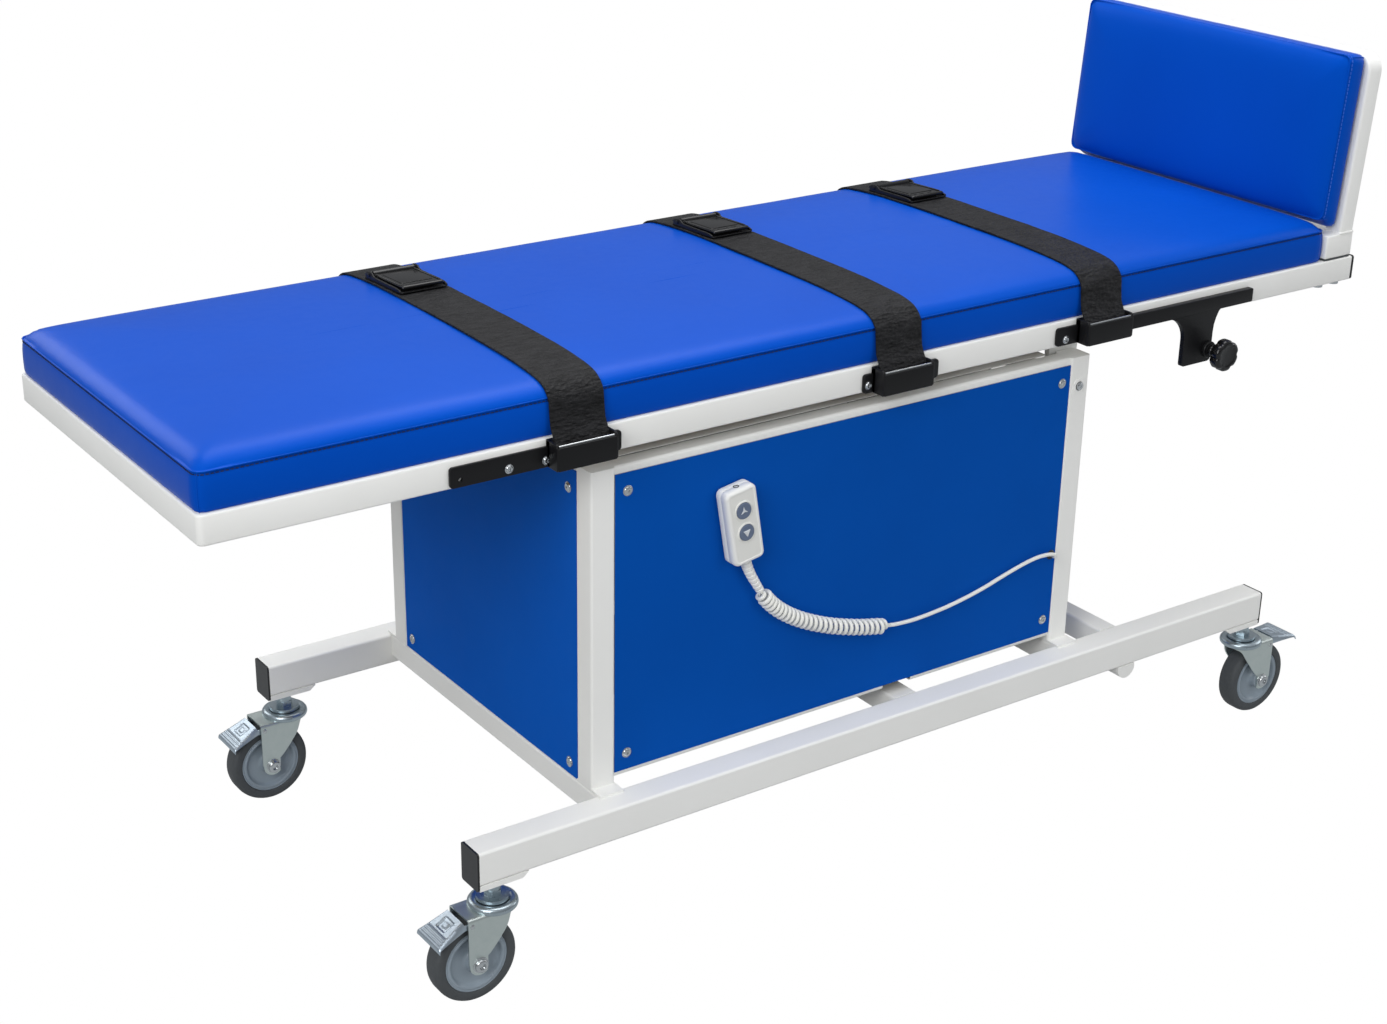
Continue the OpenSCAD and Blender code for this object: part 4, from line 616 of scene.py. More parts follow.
def stitchTree():
    tree, start, dots = startTree("stitches along a seam", (("Spacing", "Float"), ("Stitch Length", "Float"),
                                                            ("Thread Radius", "Float"), ("Thread", "Material")))
    curve = addNode(tree, "GeometryNodeMeshToCurve")
    spaced = addNode(tree, "GeometryNodeResampleCurve", mode="LENGTH")
    tangent = addNode(tree, "GeometryNodeInputTangent")
    turn = addNode(tree, "FunctionNodeAlignRotationToVector", axis="Z")
    thread = addNode(tree, "GeometryNodeMeshCylinder", {"Vertices": 6, "Side Segments": 3})
    return endTree(tree, start, dots, "Thread", (
        (curve, "Mesh", start, "Geometry"), (spaced, "Curve", curve, "Curve"), (spaced, "Length", start, "Spacing"),
        (thread, "Depth", start, "Stitch Length"), (thread, "Radius", start, "Thread Radius"),
        (turn, "Vector", tangent, "Tangent"), (dots, "Points", spaced, "Curve"), (dots, "Instance", thread, "Mesh"),
        (dots, "Rotation", turn, "Rotation")))


def fastenerTree():
    tree, start, dots = startTree("fasteners at points", (("Item", "Object"), ("Finish", "Material"), ("Seed", "Int")))
    facing = addNode(tree, "GeometryNodeInputNamedAttribute", {"Name": "facing"}, data_type="FLOAT_VECTOR")
    turn = addNode(tree, "FunctionNodeAlignRotationToVector", axis="Z")
    item = addNode(tree, "GeometryNodeObjectInfo")
    spin = addNode(tree, "FunctionNodeRandomValue", {2: 0.0, 3: 3.1}, data_type="FLOAT")
    around = addNode(tree, "ShaderNodeCombineXYZ")
    euler = addNode(tree, "FunctionNodeEulerToRotation")
    both = addNode(tree, "FunctionNodeRotateRotation", rotation_space="LOCAL")
    return endTree(tree, start, dots, "Finish", (
        (item, "Object", start, "Item"), (spin, "Seed", start, "Seed"), (turn, "Vector", facing, "Attribute"),
        (around, "Z", spin, 1), (euler, "Euler", around, "Vector"), (both, "Rotation", turn, "Rotation"),
        (both, "Rotate By", euler, "Rotation"), (dots, "Points", start, "Geometry"),
        (dots, "Instance", item, "Geometry"), (dots, "Rotation", both, "Rotation")))


seamStitches, markedFasteners = stitchTree(), fastenerTree()


def grown(name, base, tree, values, body, smooth):
    # runs the node tree on the base mesh and keeps its result as a plain mesh
    holder = newObject(name.replace(" ", "-") + "-base", base)
    modifier = holder.modifiers.new("repeat", "NODES")
    modifier.node_group = tree
    for item in tree.interface.items_tree:
        if item.in_out == "INPUT" and item.name in values:
            modifier[item.identifier] = values[item.name]
    holder.update_tag()
    mesh = evaluatedMesh(holder)
    bpy.data.objects.remove(holder)
    mesh.name = name
    return riding(name, mesh, body, smooth)


def stitchRow(name, points, body, thread=threadBlue, spacing=0.0062, length=0.0043, radius=0.0009):
    base = plainMesh(name + " line", points, [], [(i, i + 1) for i in range(len(points) - 1)])
    return grown(name, base, seamStitches, {"Spacing": spacing, "Stitch Length": length, "Thread Radius": radius,
                                            "Thread": thread}, body, 60)


def fasteners(name, spots, item, mat, body, seed=3):
    base = plainMesh(name + " points", [p for p, way in spots], [])
    facing = base.attributes.new("facing", "FLOAT_VECTOR", "POINT")
    facing.data.foreach_set("vector", [c for p, way in spots for c in way])
    return grown(name, base, markedFasteners, {"Item": item, "Finish": mat, "Seed": seed}, body, 35)


def seamLoop(c, matrix, height, inset, seed):
    # the seam's line follows the same waves as the side
    points = []
    for x, y, nx, ny in cushionRing(c, 1):
        px, py = x - nx * inset, y - ny * inset
        pull = sidePull(c, px, py, height, seed)
        points.append(matrix @ mm(px + nx * pull, py + ny * pull, height))
    return points


def weltPiece(name, c, matrix, body, height, inset, seed, r=0.0011):
    loop = seamLoop(c, matrix, height, inset, seed)
    up = matrix.to_3x3() @ Vector((0, 0, 1))
    verts, faces = tubeMesh(loop, r, 8, [up] * len(loop))
    return meshObject(name, verts, faces, blueVinyl, body, "vinyl_blue", 180)


def cornerSeams(name, c, matrix, body):
    # upright seam at each corner, a thin folded ridge
    half = (c["length"] / 2, c["width"] / 2)
    parts = []
    for sx in (-1, 1):
        for sy in (-1, 1):
            line, ups = [], []
            for inset, height in c["profile"]:
                if height > c["seamHeight"] - 0.5:
                    break
                r = c["corner"]
                reach = r * sqrt(0.5) - inset * sqrt(0.5) + 0.15
                line.append(matrix @ mm(sx * (half[0] - r + reach), sy * (half[1] - r + reach), height))
                ups.append(matrix.to_3x3() @ Vector((sx, sy, 0)).normalized())
            parts.append(tubeMesh(line, 0.0009, 8, ups))
    return meshObject(name, *joined(parts), blueVinyl, body, "vinyl_blue", 180)


weltPiece("mattress welt", mattress, mattressPlace, "platform", 51.0, 1.9, 1.7)
weltPiece("footboard pad welt", padCushion, padPlace, "platform", 35.4, 1.9, 8.3)
stitchRow("mattress stitches", seamLoop(mattress, mattressPlace, 47.4, 2.1, 1.7), "platform")
stitchRow("footboard pad stitches", seamLoop(padCushion, padPlace, 31.4, 1.1, 8.3), "platform", threadPale)
cornerSeams("mattress corner seams", mattress, mattressPlace, "platform")
cornerSeams("footboard pad corner seams", padCushion, padPlace, "platform")
print("seams and stitches made")


# straps
strap = {"xs": (-27, 503, 893), "width": 82, "thick": 3.0, "lift": 0.7, "dropY": 310.8, "endZ": 745, "edge": 0.9}


def strapCentre(s):
    # half section of the strap's underside, from the middle to the box
    side = mattress["width"] / 2
    line = [(0.0, mattress["baseZ"] + mattress["height"] + s["lift"])]
    line += [(side - inset, mattress["baseZ"] + height + s["lift"])
             for inset, height in reversed(mattress["profile"]) if height > 54]
    line += [(side - 1.2, 824.5), (side + 1.4, 819), (side + 2.4, 808), (side + 3.6, 797), (side + 5.4, 786),
             (s["dropY"] - 6, 773), (s["dropY"] - 1, 765), (s["dropY"], 756), (s["dropY"], s["endZ"])]
    return line


def densed(line, step):
    # more points along the line, without its last one
    points = []
    for (x0, y0), (x1, y1) in zip(line, line[1:]):
        count = max(1, int(hypot(x1 - x0, y1 - y0) / step))
        points += [(x0 + (x1 - x0) * i / count, y0 + (y1 - y0) * i / count) for i in range(count)]
    return points


def wayAt(line, i):
    # unit way of a flat line at its point i
    (x0, y0), (x1, y1) = line[max(i - 1, 0)], line[min(i + 1, len(line) - 1)]
    length = hypot(x1 - x0, y1 - y0)
    return (x1 - x0) / length, (y1 - y0) / length


def strapSection(s, x):
    half = strapCentre(s)
    spaced = densed(half, 6) + half[-1:]
    line = [(-y, z) for y, z in reversed(spaced[1:])] + spaced
    w, t, e = s["width"] / 2, s["thick"], s["edge"]
    right = [(w - e, 0), (w - e * 0.3, e * 0.3), (w, e), (w - 0.35, t / 2), (w, t - e), (w - e * 0.3, t - e * 0.3),
             (w - e, t), (w - 4, t + 0.12), (w - 6, t)]
    shape = [(-w + e, 0)] + right + [(-u, h) for u, h in reversed(right[1:])]
    verts = []
    for i, (y, z) in enumerate(line):
        wayY, wayZ = wayAt(line, i)
        ripple = 0.35 * noise.noise(Vector((x / 50, y / 38, z / 38)))
        for px, pt in shape:
            lift = pt + (ripple if pt > 0 else 0)
            verts.append(place(x + px + 0.6 * noise.noise(Vector((x, y / 90, 4))), y - wayZ * lift, z + wayY * lift))
    return verts, capped(len(line), len(shape))


meshObject("holding straps", *joined([strapSection(strap, x) for x in strap["xs"]]), strapLeather, "platform",
           "strap_web", 50, "straps")
print("straps made")


# handset: moulded case with a sunken face, two raised buttons with arrows
handset = {"width": 52, "length": 115, "corner": 9, "x": 233, "z": 586, "backY": -289, "lean": -10, "face": 25.2,
           "buttons": (24, -10), "buttonRadius": 12, "arrow": 7.2,
           "rings": ((2.4, 0), (0.8, 0.7), (0, 2.2), (0, 11.6), (0.35, 12), (0.35, 12.5), (0, 12.9), (0, 20.5),
                     (0.5, 22.8), (1.7, 24.7), (3.4, 25.8), (5.2, 26), (5.9, 25.7), (6.2, 25.2))}
casePlace = pose(place(handset["x"], handset["backY"], handset["z"]), handset["lean"])
caseFront, caseUp = (casePlace.to_3x3() @ Vector(v) for v in ((0, -1, 0), (0, 0, 1)))


def casePoint(x, depth, z):
    return casePlace @ mm(x, -depth, z)


def caseRing(h, inset, depth, count=96):
    half = (h["width"] / 2, h["length"] / 2)
    spots = [ringPoint(half, h["corner"], (k + 0.5) / count) for k in range(count)]
    return [casePoint(x - nx * inset, depth, z - nz * inset) for x, z, nx, nz in spots]


def handsetCase(h):
    rings = [caseRing(h, inset, depth) for inset, depth in h["rings"]]
    return sum(rings, []), capped(len(rings), len(rings[0]))[:-1]


def handsetFace(h):
    # the foil fills the sunken face, with a hole and a collar for each button
    r, depth = h["buttonRadius"], h["face"]
    edges = [caseRing(h, h["rings"][-1][0] - 0.3, depth)]
    for z in h["buttons"]:
        turns = [2 * pi * k / 48 for k in range(48)]
        edges.append([casePoint((r + 0.3) * cos(a), depth, z + (r + 0.3) * sin(a)) for a in turns])
    verts = sum(edges, [])
    faces = []
    for i, j, k in tessellate_polygon(edges):
        outward = (verts[j] - verts[i]).cross(verts[k] - verts[i]).dot(caseFront) > 0
        faces.append((i, j, k) if outward else (i, k, j))
    parts = [(verts, faces)]
    for z in h["buttons"]:
        collar = ((r + 3.0, 0), (r + 2.7, 0.9), (r + 1.9, 1.4), (r + 1.0, 1.3), (r + 0.45, 0.7), (r + 0.35, -0.5))
        verts, faces = lathe(collar, casePoint(0, depth, z), caseFront)
        parts.append((verts, faces[:-2]))
    return joined(parts)


def handsetButton(h, z, turn, waist):
    r, depth = h["buttonRadius"], h["face"]
    dome = ((0.01, -2), (r, -2), (r, 1.0), (r - 0.5, 1.7), (r - 1.4, 2.0), (r - 2.4, 1.8), (r - 4.5, 1.55), (3, 1.4),
            (0.01, 1.4))
    body = lathe(dome, casePoint(0, depth, z), caseFront)
    # arrow: a small raised triangle, its sides hollow where the waist is under a half
    tips = [(h["arrow"] * cosine(turn + 120 * k), h["arrow"] * sine(turn + 120 * k)) for k in range(3)]
    outline = []
    for (x0, y0), (x1, y1) in zip(tips, tips[1:] + tips[:1]):
        outline += [(x0, y0), ((x0 + x1) * waist, (y0 + y1) * waist)]
    low = [casePoint(x, depth + 1.2, z + y) for x, y in outline]
    high = [casePoint(x * 0.8, depth + 2.5, z + y * 0.8) for x, y in outline]
    return body, slab(low, high)


meshObject("handset case", *handsetCase(handset), casePlastic, "base", "case_plastic", 60, "handset_shell")
meshObject("handset face", *handsetFace(handset), facePlastic, "base", "case_plastic", 40)
hang = lathe(((4.2, 0), (4.2, 0.5), (3.2, 0.7), (2.9, 0.2), (2.7, -5)), casePoint(0, 14, 57.4), caseUp, 24)
meshObject("handset hanging hole", *hang, socketBlack, "base", "case_plastic")
# ribbed strain relief: bends from the case's lower end to the head of the curls
relief = {"ribs": 9, "rows": 6, "sides": 24, "handle": 0.02, "thick": 8.4, "thin": 6.2, "groove": 0.7,
          "reach": 0.048, "inside": 54, "depth": 12}


def reliefMesh(s, c):
    way = Vector((sine(c["reliefTilt"]), 0, cosine(c["reliefTilt"])))
    start = casePoint(0, s["depth"], -s["inside"])
    end = place(c["reliefTop"][0], c["coilY"], c["reliefTop"][1]) + way * s["reach"]
    curve = [start, start + casePlace.to_3x3() @ Vector((0, 0, -s["handle"])), end - way * s["handle"], end]
    count = s["ribs"] * s["rows"]
    line = [bezierPoint(curve, i / count) for i in range(count + 1)]
    verts, faces = tubeMesh(line, 0.001, s["sides"], [Vector((0, 1, 0))] * (count + 1))
    for i, p in enumerate(line):
        wide = s["thick"] + (s["thin"] - s["thick"]) * i / count
        if i % s["rows"] < 2:
            wide *= s["groove"]
        for k in range(i * s["sides"], (i + 1) * s["sides"]):
            verts[k] = p + (verts[k] - p) * wide
    return verts, faces


meshObject("handset ribbed relief", *reliefMesh(relief, cordSizes), casePlastic, "base", "case_plastic", 40,
           "handset_strain_relief")
for label, z, turn, waist in zip(("up", "down"), handset["buttons"], (90, -90), (0.26, 0.48)):
    cap, arrow = handsetButton(handset, z, turn, waist)
    meshObject(label + " button cap", *cap, buttonRubber, "button_" + label, "button_rubber", 50, label + "_button")
    meshObject(label + " button arrow", *arrow, arrowPlastic, "button_" + label, "button_rubber", 20)
print("handset made")


# screws with a domed head and a six-point socket
screwSizes = {"radius": 6.4, "height": 3.0, "washer": 7.6, "socket": 2.3, "depth": 2.0}
smallSizes = {"radius": 5.2, "height": 2.6, "washer": 6.2, "socket": 2.0, "depth": 1.6}


def screwItem(s):
    # built about the origin, head upwards
    r, h, wide, hole = s["radius"], s["height"], s["washer"], s["socket"]
    shape = ((wide, 0), (wide, 0.55), (wide - 0.3, 0.8), (r, 0.8), (r - 0.15, 1.4), (r * 0.86, 2.3), (r * 0.66, 2.85),
             (hole + 0.5, h), (hole, h - 0.15), (hole * 0.92, h - s["depth"]))
    steps = 36
    verts, faces = lathe(shape, Vector((0, 0, 0)), (0, 0, 1), steps)
    # the last two rings take the shape of the socket
    for k in range((len(shape) - 2) * steps, len(shape) * steps):
        star = 1 + 0.22 * cos(6 * (2 * pi * (k % steps) / steps))
        verts[k] = Vector((verts[k].x * star, verts[k].y * star, verts[k].z))
    return newObject("screw item", plainMesh("screw item", verts, faces))


screwRows = {"side": (287, (58, 838), (275, 668)), "pivot": (873, 288.2, 658), "end": 230,
             "ends": ((1, (252, 666), -1), (891, (252, 590), 1)),
             "tube": (276, 732, (-479.7, -100.2, 540.3, 1062.4, 1339.5)), "anchor": (301, 744, (-130, -75, 449, 824))}
item, small = screwItem(screwSizes), screwItem(smallSizes)
panelSpots = []
(face, xs, heights), (px, py, pz), end = (screwRows[k] for k in ("side", "pivot", "end"))
for s in (-1, 1):
    panelSpots += [(place(x, s * face, z), (0, s, 0)) for x in xs for z in heights]
    panelSpots.append((place(px, s * py, pz), (0, s, 0)))
for x, heights, way in screwRows["ends"]:
    panelSpots += [(place(x, y, z), (way, 0, 0)) for y in (-end, end) for z in heights]
fasteners("panel screws dressed", panelSpots, item, brightSteel, "base")
y, z, xs = screwRows["tube"]
tubeSpots = [(place(x, s * y, z), (0, 0, -1)) for s in (-1, 1) for x in xs]
fasteners("platform screws dressed", tubeSpots, item, brightSteel, "platform", 8)
y, z, xs = screwRows["anchor"]
anchorSpots = [(place(x, s * y, z), (0, s, 0)) for s in (-1, 1) for x in xs]
fasteners("anchor screws dressed", anchorSpots, small, brightSteel, "platform", 5)
for proto in (item, small):
    bpy.data.objects.remove(proto)
print("screws made")


# castors: swivel axis at the local origin, pedal towards -X, millimetres above the floor
castor = {"forkTop": 136.0, "forkHalf": 26.0, "sheet": 2.5, "bend": 4.5, "back": -52.0, "trail": 35.0,
          "wheelRadius": 62.5, "endRadius": 16.0, "tread": 32.0, "hubRadius": 47.0, "axle": 6.0,
          "pivot": (-46.0, 126.0), "pressed": 28.0, "released": 6.0}
castorSpots = {"front_head": (-179, -322, 0, "pressed"), "back_head": (-179, 322, 0, "pressed"),
               "front_foot": (1273, -322, 180, "released"), "back_foot": (1273, 322, 180, "released")}


def forkLow(c, x):
    # lower edge of the folded sheet at this place of its plan
    edge = ((-24.0, 72.0), (-19.0, 76.0), (-10, 86), (-4, 93), (0, 99), (6, 106), (11, 114), (15, 122), (19, 127),
            (26, 130))
    if x <= -24:
        reach = c["endRadius"] ** 2 - (x + c["trail"]) ** 2
        return c["wheelRadius"] - sqrt(max(reach, 0)) if reach > 0 else c["wheelRadius"] + 3
    for (x0, z0), (x1, z1) in zip(edge, edge[1:]):
        if x <= x1:
            return z0 + (z1 - z0) * (x - x0) / (x1 - x0)
    return edge[-1][1]


def forkMesh(c):
    half = c["forkHalf"]
    plan = [(c["back"], -half, 0, -1), (-51.4, -half, 0, -1), (-51, -half, 0, -1)]
    plan += [(x, -half, 0, -1) for x in (-50.6, -50, -49, -47.5, -45.5, -43, -40, -37, -34, -31, -28.5, -26.5, -24.01,
                                         -23, -21.5, -19, -16, -13, -10, -7, -4, -2)]
    plan += [(half * sine(a), -half * cosine(a), sine(a), -cosine(a)) for a in range(0, 91, 6)]
    plan += [(x, -y, nx, -ny) for x, y, nx, ny in reversed(plan[:-1])]
    top, bend, sheet = c["forkTop"], c["bend"], c["sheet"]
    verts = []
    for x, y, nx, ny in plan:
        low = forkLow(c, x)
        rows = [(0.5, low), (0.0, low + 0.6)]
        rows += [(0, low + (top - bend - low) * t) for t in (0.15, 0.3, 0.5, 0.7, 0.85, 1.0)]
        rows += [(bend * (1 - cosine(a)), top - bend + bend * sine(a)) for a in (22, 45, 67, 90)]
        rows += [(14, top), (14, top - sheet), (bend, top - sheet)]
        rows += [(sheet + (bend - sheet) * (1 - cosine(a)), top - bend + (bend - sheet) * sine(a))
                 for a in (60, 30, 0)]
        rows += [(sheet, low + (top - bend - low) * t) for t in (0.7, 0.3)] + [(sheet, low + 0.6), (sheet - 0.5, low)]
        verts += [mm(x - nx * i, y - ny * i, z) for i, z in rows]
    # middle of the top plate, between the turned-in sheets
    plate = [(c["back"], -12.1), (c["back"], 12.1), (2, 12.1), (10, 8), (12.1, 0), (10, -8), (2, -12.1)]
    low, high = ([mm(x, y, z) for x, y in plate] for z in (top - sheet, top))
    return [(verts, capped(len(plan), len(rows), True)), slab(low, high)]


# brake pedal: fields are half length, half width, soft edge and rise of a pressed place about the middle
pedal = {"rows": 46, "columns": 33, "root": 7.4, "length": 49.6, "half": 22.9, "widening": 9.1, "top": 12, "sheet": 1.6,
         "flange": 9.5, "tipFlange": 2.6, "flat": (0.84, 0.16), "lip": (0.9, 0.1), "lipDrop": 4.6, "lipOut": 1.2,
         "middle": 24, "fields": ((9.5, 11.5, 1.6, -1.5), (4.6, 5.6, 1.2, 1.0)), "ridges": (38.5, 43.5, 48.5),
         "ridgeWidth": 1.3, "arm": (19, 3, 9), "armAt": (-6.5, 20.5, 1.2), "armTurn": 28, "shoe": (12, 28, 7.5),
         "shoeAt": (-16, 0, 7)}


def pedalMesh(p):
    # pressed plate in the pedal's own frame: hinge at the origin, plate towards -X
    rows, columns = p["rows"], p["columns"]
    flat, bent = p["flat"]
    tops, bottoms = [], []
    for i in range(rows):
        t = i / (rows - 1)
        x = -p["root"] - p["length"] * t
        width = p["half"] + p["widening"] * t
        lip = max(0.0, (t - p["lip"][0]) / p["lip"][1])
        flange = p["flange"] * (1 - t) ** 1.3 + p["tipFlange"]
        for j in range(columns):
            s = 2 * j / (columns - 1) - 1
            edge = max(0.0, (abs(s) - flat) / bent)
            y = width * (s if edge == 0 else copysign(flat + bent * sin(edge * pi / 2), s))
            z = p["top"] - flange * (1 - cos(edge * pi / 2))
            pressed = sum(rise * (clamp((wide - abs(y)) / soft) * clamp((long - abs(x + p["middle"])) / soft))
                          for long, wide, soft, rise in p["fields"])
            ridge = sum(exp(-((x + at) / p["ridgeWidth"]) ** 2) for at in p["ridges"]) * (1 - min(1, edge * 3))
            z += pressed + ridge - p["lipDrop"] * (1 - cos(lip * pi / 2))
            tops.append(mm(x - p["lipOut"] * lip * (1 - lip), y, z))
            bottoms.append(mm(x, y * (1 - 1.5 / width), z - p["sheet"]))
    n = rows * columns
    faces = []
    for i in range(rows - 1):
        for j in range(columns - 1):
            a = i * columns + j
            faces.append((a, a + 1, a + columns + 1, a + columns))
            faces.append((n + a, n + a + columns, n + a + columns + 1, n + a + 1))
    rim = [*range(columns), *range(2 * columns - 1, n, columns), *range(n - 2, n - columns - 1, -1),
           *range((rows - 2) * columns, 0, -columns)]
    faces += [(a, n + a, n + b, b) for a, b in zip(rim, rim[1:] + rim[:1])]
    x, y, z = p["armAt"]
    arms = [moved(roundedBox(p["arm"], 1.0), pose(mm(x, s * y, z), p["armTurn"])) for s in (-1, 1)]
    return joined([(tops + bottoms, faces), *arms, boxAt(p["shoe"], p["shoeAt"], 1.2)])


def castorPieces(label, spot):
    x, y, turn, state = spot
    c = castor
    at = pose(place(x, y, 0), turn, "Z")
    axle = mm(-c["trail"], 0, c["wheelRadius"])
    swivelBody, wheelBody, brakeBody = label + "_caster", label + "_wheel", label + "_brake"
    meshObject(label + " fork sheet", *moved(joined(forkMesh(c)), at), zincPaleLit, swivelBody, "zinc", 35,
               label + "_fork")
    race = ((6.2, 133.6), (33.4, 133.6), (34.4, 134.8), (35, 137.2), (34.6, 140), (33, 142.4), (30.2, 143.8),
            (27.4, 144.2), (25.2, 143.7), (23.4, 143.1), (20.5, 142.7), (17, 142.8), (14, 143.2), (9.5, 143.6),
            (6.2, 143.6))
    dish = closedLathe(race, Vector((0, 0, 0)), (0, 0, 1), 64)
    meshObject(label + " swivel race", *moved(dish, at), zincPlate, swivelBody, "zinc", 60)
    hardware = []
    nut = ((11.5, -0.4), (11.5, 1.0), (11, 1.5), (9.9, 1.6), (9.8, 3.6), (9.2, 5.2), (7.8, 6.2), (5.2, 6.6), (4.7, 6.3),
           (4.4, 3.2))
    rivet = ((3.4, -0.3), (3.4, 0.5), (2.6, 1.2), (1.2, 1.5))
    side, pivotX, pivotZ = (v / 1000 for v in (c["forkHalf"], *c["pivot"]))
    for s in (-1, 1):
        way = Vector((0, s, 0))
        hardware += [lathe(nut, axle + way * side, way, 40), lathe(rivet, Vector((pivotX, s * side, pivotZ)), way, 20)]
    hardware.append(lathe(((c["axle"], -24), (c["axle"], 24)), axle, (0, 1, 0), 32))
    meshObject(label + " axle bolt", *moved(joined(hardware), at), brightSteel, swivelBody, "zinc", 40)
    w, r, hr = c["tread"] / 2, c["wheelRadius"], c["hubRadius"]
    near = ((hr, -w + 1.6), (hr + 1, -w + 0.6), (hr + 2.4, -w), (r - 6, -w), (r - 3.6, -w + 0.7), (r - 1.8, -w + 2.2),
            (r - 0.6, -w + 4.6), (r, -w + 8))
    tread = closedLathe([*near, *((q, -h) for q, h in reversed(near))], axle, (0, 1, 0), 96)
    meshObject(label + " tread", *moved(tread, at), treadGrey, wheelBody, "tyre_rubber", 50, label + "_tyre")
    hub = ((6.1, 23), (13.6, 23), (14.4, 22.4), (14.8, 20), (15.4, 13), (17.5, 10.2), (21, 9.2), (34, 9.2),
           (36.2, 9.8), (38.2, 12), (39.4, 14.6), (40.4, 15.4), (42.4, 15.6), (43.4, 15.2), (44, 14.4), (45, 14.4),
           (46, 15), (47, 14.4))
    centre = closedLathe([*((q, -h) for q, h in hub), *reversed(hub)], axle, (0, 1, 0), 72)
    meshObject(label + " wheel centre", *moved(centre, at), hubPlastic, wheelBody, "hub_plastic", 45, label + "_hub")
    hinge = pose(mm(c["pivot"][0], 0, c["pivot"][1]), -c[state])
    meshObject(label + " brake pedal", *moved(pedalMesh(pedal), at @ hinge), zincPressedLit, brakeBody, "zinc", 45,
               label + "_pedal")


for label, spot in castorSpots.items():
    castorPieces(label, spot)
print("castors made")


# plates and bars with eased edges
def prism(outline, y0, y1, ease=0.8, steps=2, holes=()):
    # outline is (x, z) in millimetres, drawn out along Y; holes are (x, z, radius)
    work = bmesh.new()
    rim = [work.verts.new(mm(x, y0, z)) for x, z in outline]
    face = work.faces.new(rim)
    drawn = bmesh.ops.extrude_face_region(work, geom=[face])
    for v in drawn["geom"]:
        if isinstance(v, bmesh.types.BMVert):
            v.co.y = y1 / 1000
    bmesh.ops.recalc_face_normals(work, faces=work.faces)
    if ease:
        edges = [e for e in work.edges if e.calc_face_angle(0) > 0.7 or abs(e.verts[0].co.y - e.verts[1].co.y) < 1e-6]
        bmesh.ops.bevel(work, geom=edges, offset=ease / 1000, segments=steps, profile=0.5, affect="EDGES",
                        clamp_overlap=True)
    mesh = bpy.data.meshes.new("prism")
    work.to_mesh(mesh)
    work.free()
    if holes:
        mesh = bored(mesh, [lathe(((r, 0), (r, abs(y1 - y0) + 8)), mm(x, min(y0, y1) - 4, z), (0, 1, 0), 28)
                            for x, z, r in holes])
    part = ([v.co.copy() for v in mesh.vertices], [tuple(p.vertices) for p in mesh.polygons])
    bpy.data.meshes.remove(mesh)
    return part


def bored(mesh, cutters):
    # cuts the given solids out of the mesh
    tool = plainMesh("tool", *joined(cutters))
    faceOut(tool)
    block, cutter = newObject("block", mesh), newObject("cutter", tool)
    modifier = block.modifiers.new("bore", "BOOLEAN")
    modifier.operation, modifier.solver, modifier.object = "DIFFERENCE", "EXACT", cutter
    result = evaluatedMesh(block)
    for obj in (block, cutter):
        bpy.data.objects.remove(obj)
    bpy.data.meshes.remove(tool)
    return result


def roundedOutline(x0, z0, x1, z1, r, steps=6):
    points = []
    for cx, cz, start in ((x1 - r, z0 + r, -90), (x1 - r, z1 - r, 0), (x0 + r, z1 - r, 90), (x0 + r, z0 + r, 180)):
        for k in range(steps + 1):
            a = start + 90 * k / steps
            points.append((cx + r * cosine(a), cz + r * sine(a)))
    return points


def turned(*rows):
    return Matrix(rows).to_4x4()


# strap anchors: plate, slotted box with cheeks and a bright bar, both sides
anchors = {"face": 296, "plateDepth": 5, "plateHeight": 28, "boxWidth": 92, "boxHeight": 37, "boxOut": 29, "wall": 3,
           "deck": 732, "backs": (187, 62, 87), "lengths": (253, 136, 137), "lifts": (2, 0, 3), "barRadius": 1.7}


def anchorParts(a, i, x):
    face, z = -a["face"], a["deck"] + a["lifts"][i]
    left = x - a["backs"][i]
    holes = ((x - a["backs"][0] + 15, 744, 3.3),) if i == 0 else ()
    half, out, wall = a["boxWidth"] / 2, face - a["boxOut"], a["wall"]
    x0, x1, top = x - half, x + half, z + a["boxHeight"]
    plate = roundedOutline(left, z, left + a["lengths"][i], z + a["plateHeight"], 5)
    parts = [prism(plate, face - a["plateDepth"], face, 0.9, 2, holes),
             prism([(x0, z), (x1, z), (x1, top), (x0, top)], face - 10, face, 1.0),
             prism(roundedOutline(x0 + 1.5, z, x1 - 1.5, top - 5, 2.2, 3), out, out + wall + 0.5, 1.3, 3),
             prism([(x0 + 1, z), (x1 - 1, z), (x1 - 1, z + wall), (x0 + 1, z + wall)], out + 2, face, 0.8)]
    for s in (-1, 1):
        # cheeks with a round shoulder, drawn along X
        cheek = [(face, z), (out + 2, z), (out + 0.4, z + 2.5), (out + 0.4, top - 9)]
        cheek += [(out + 6.4 - 6 * cosine(v), top - 9 + 9 * sine(v)) for v in (15, 30, 45, 60, 75, 90)]
        cheek += [(face - 4, top), (face, top - 4)]
        at = pose(mm(x + s * half - (4.2 if s > 0 else 0), 0, 0)) @ turned((0, 1, 0), (1, 0, 0), (0, 0, 1))
        parts.append(moved(prism(cheek, 0, 4.2, 1.1, 3), at))
    bar = lathe(((a["barRadius"], -half + 4), (a["barRadius"], half - 4)), mm(x, out + 4.4, top - 4.4), (1, 0, 0), 16)
    return parts, bar


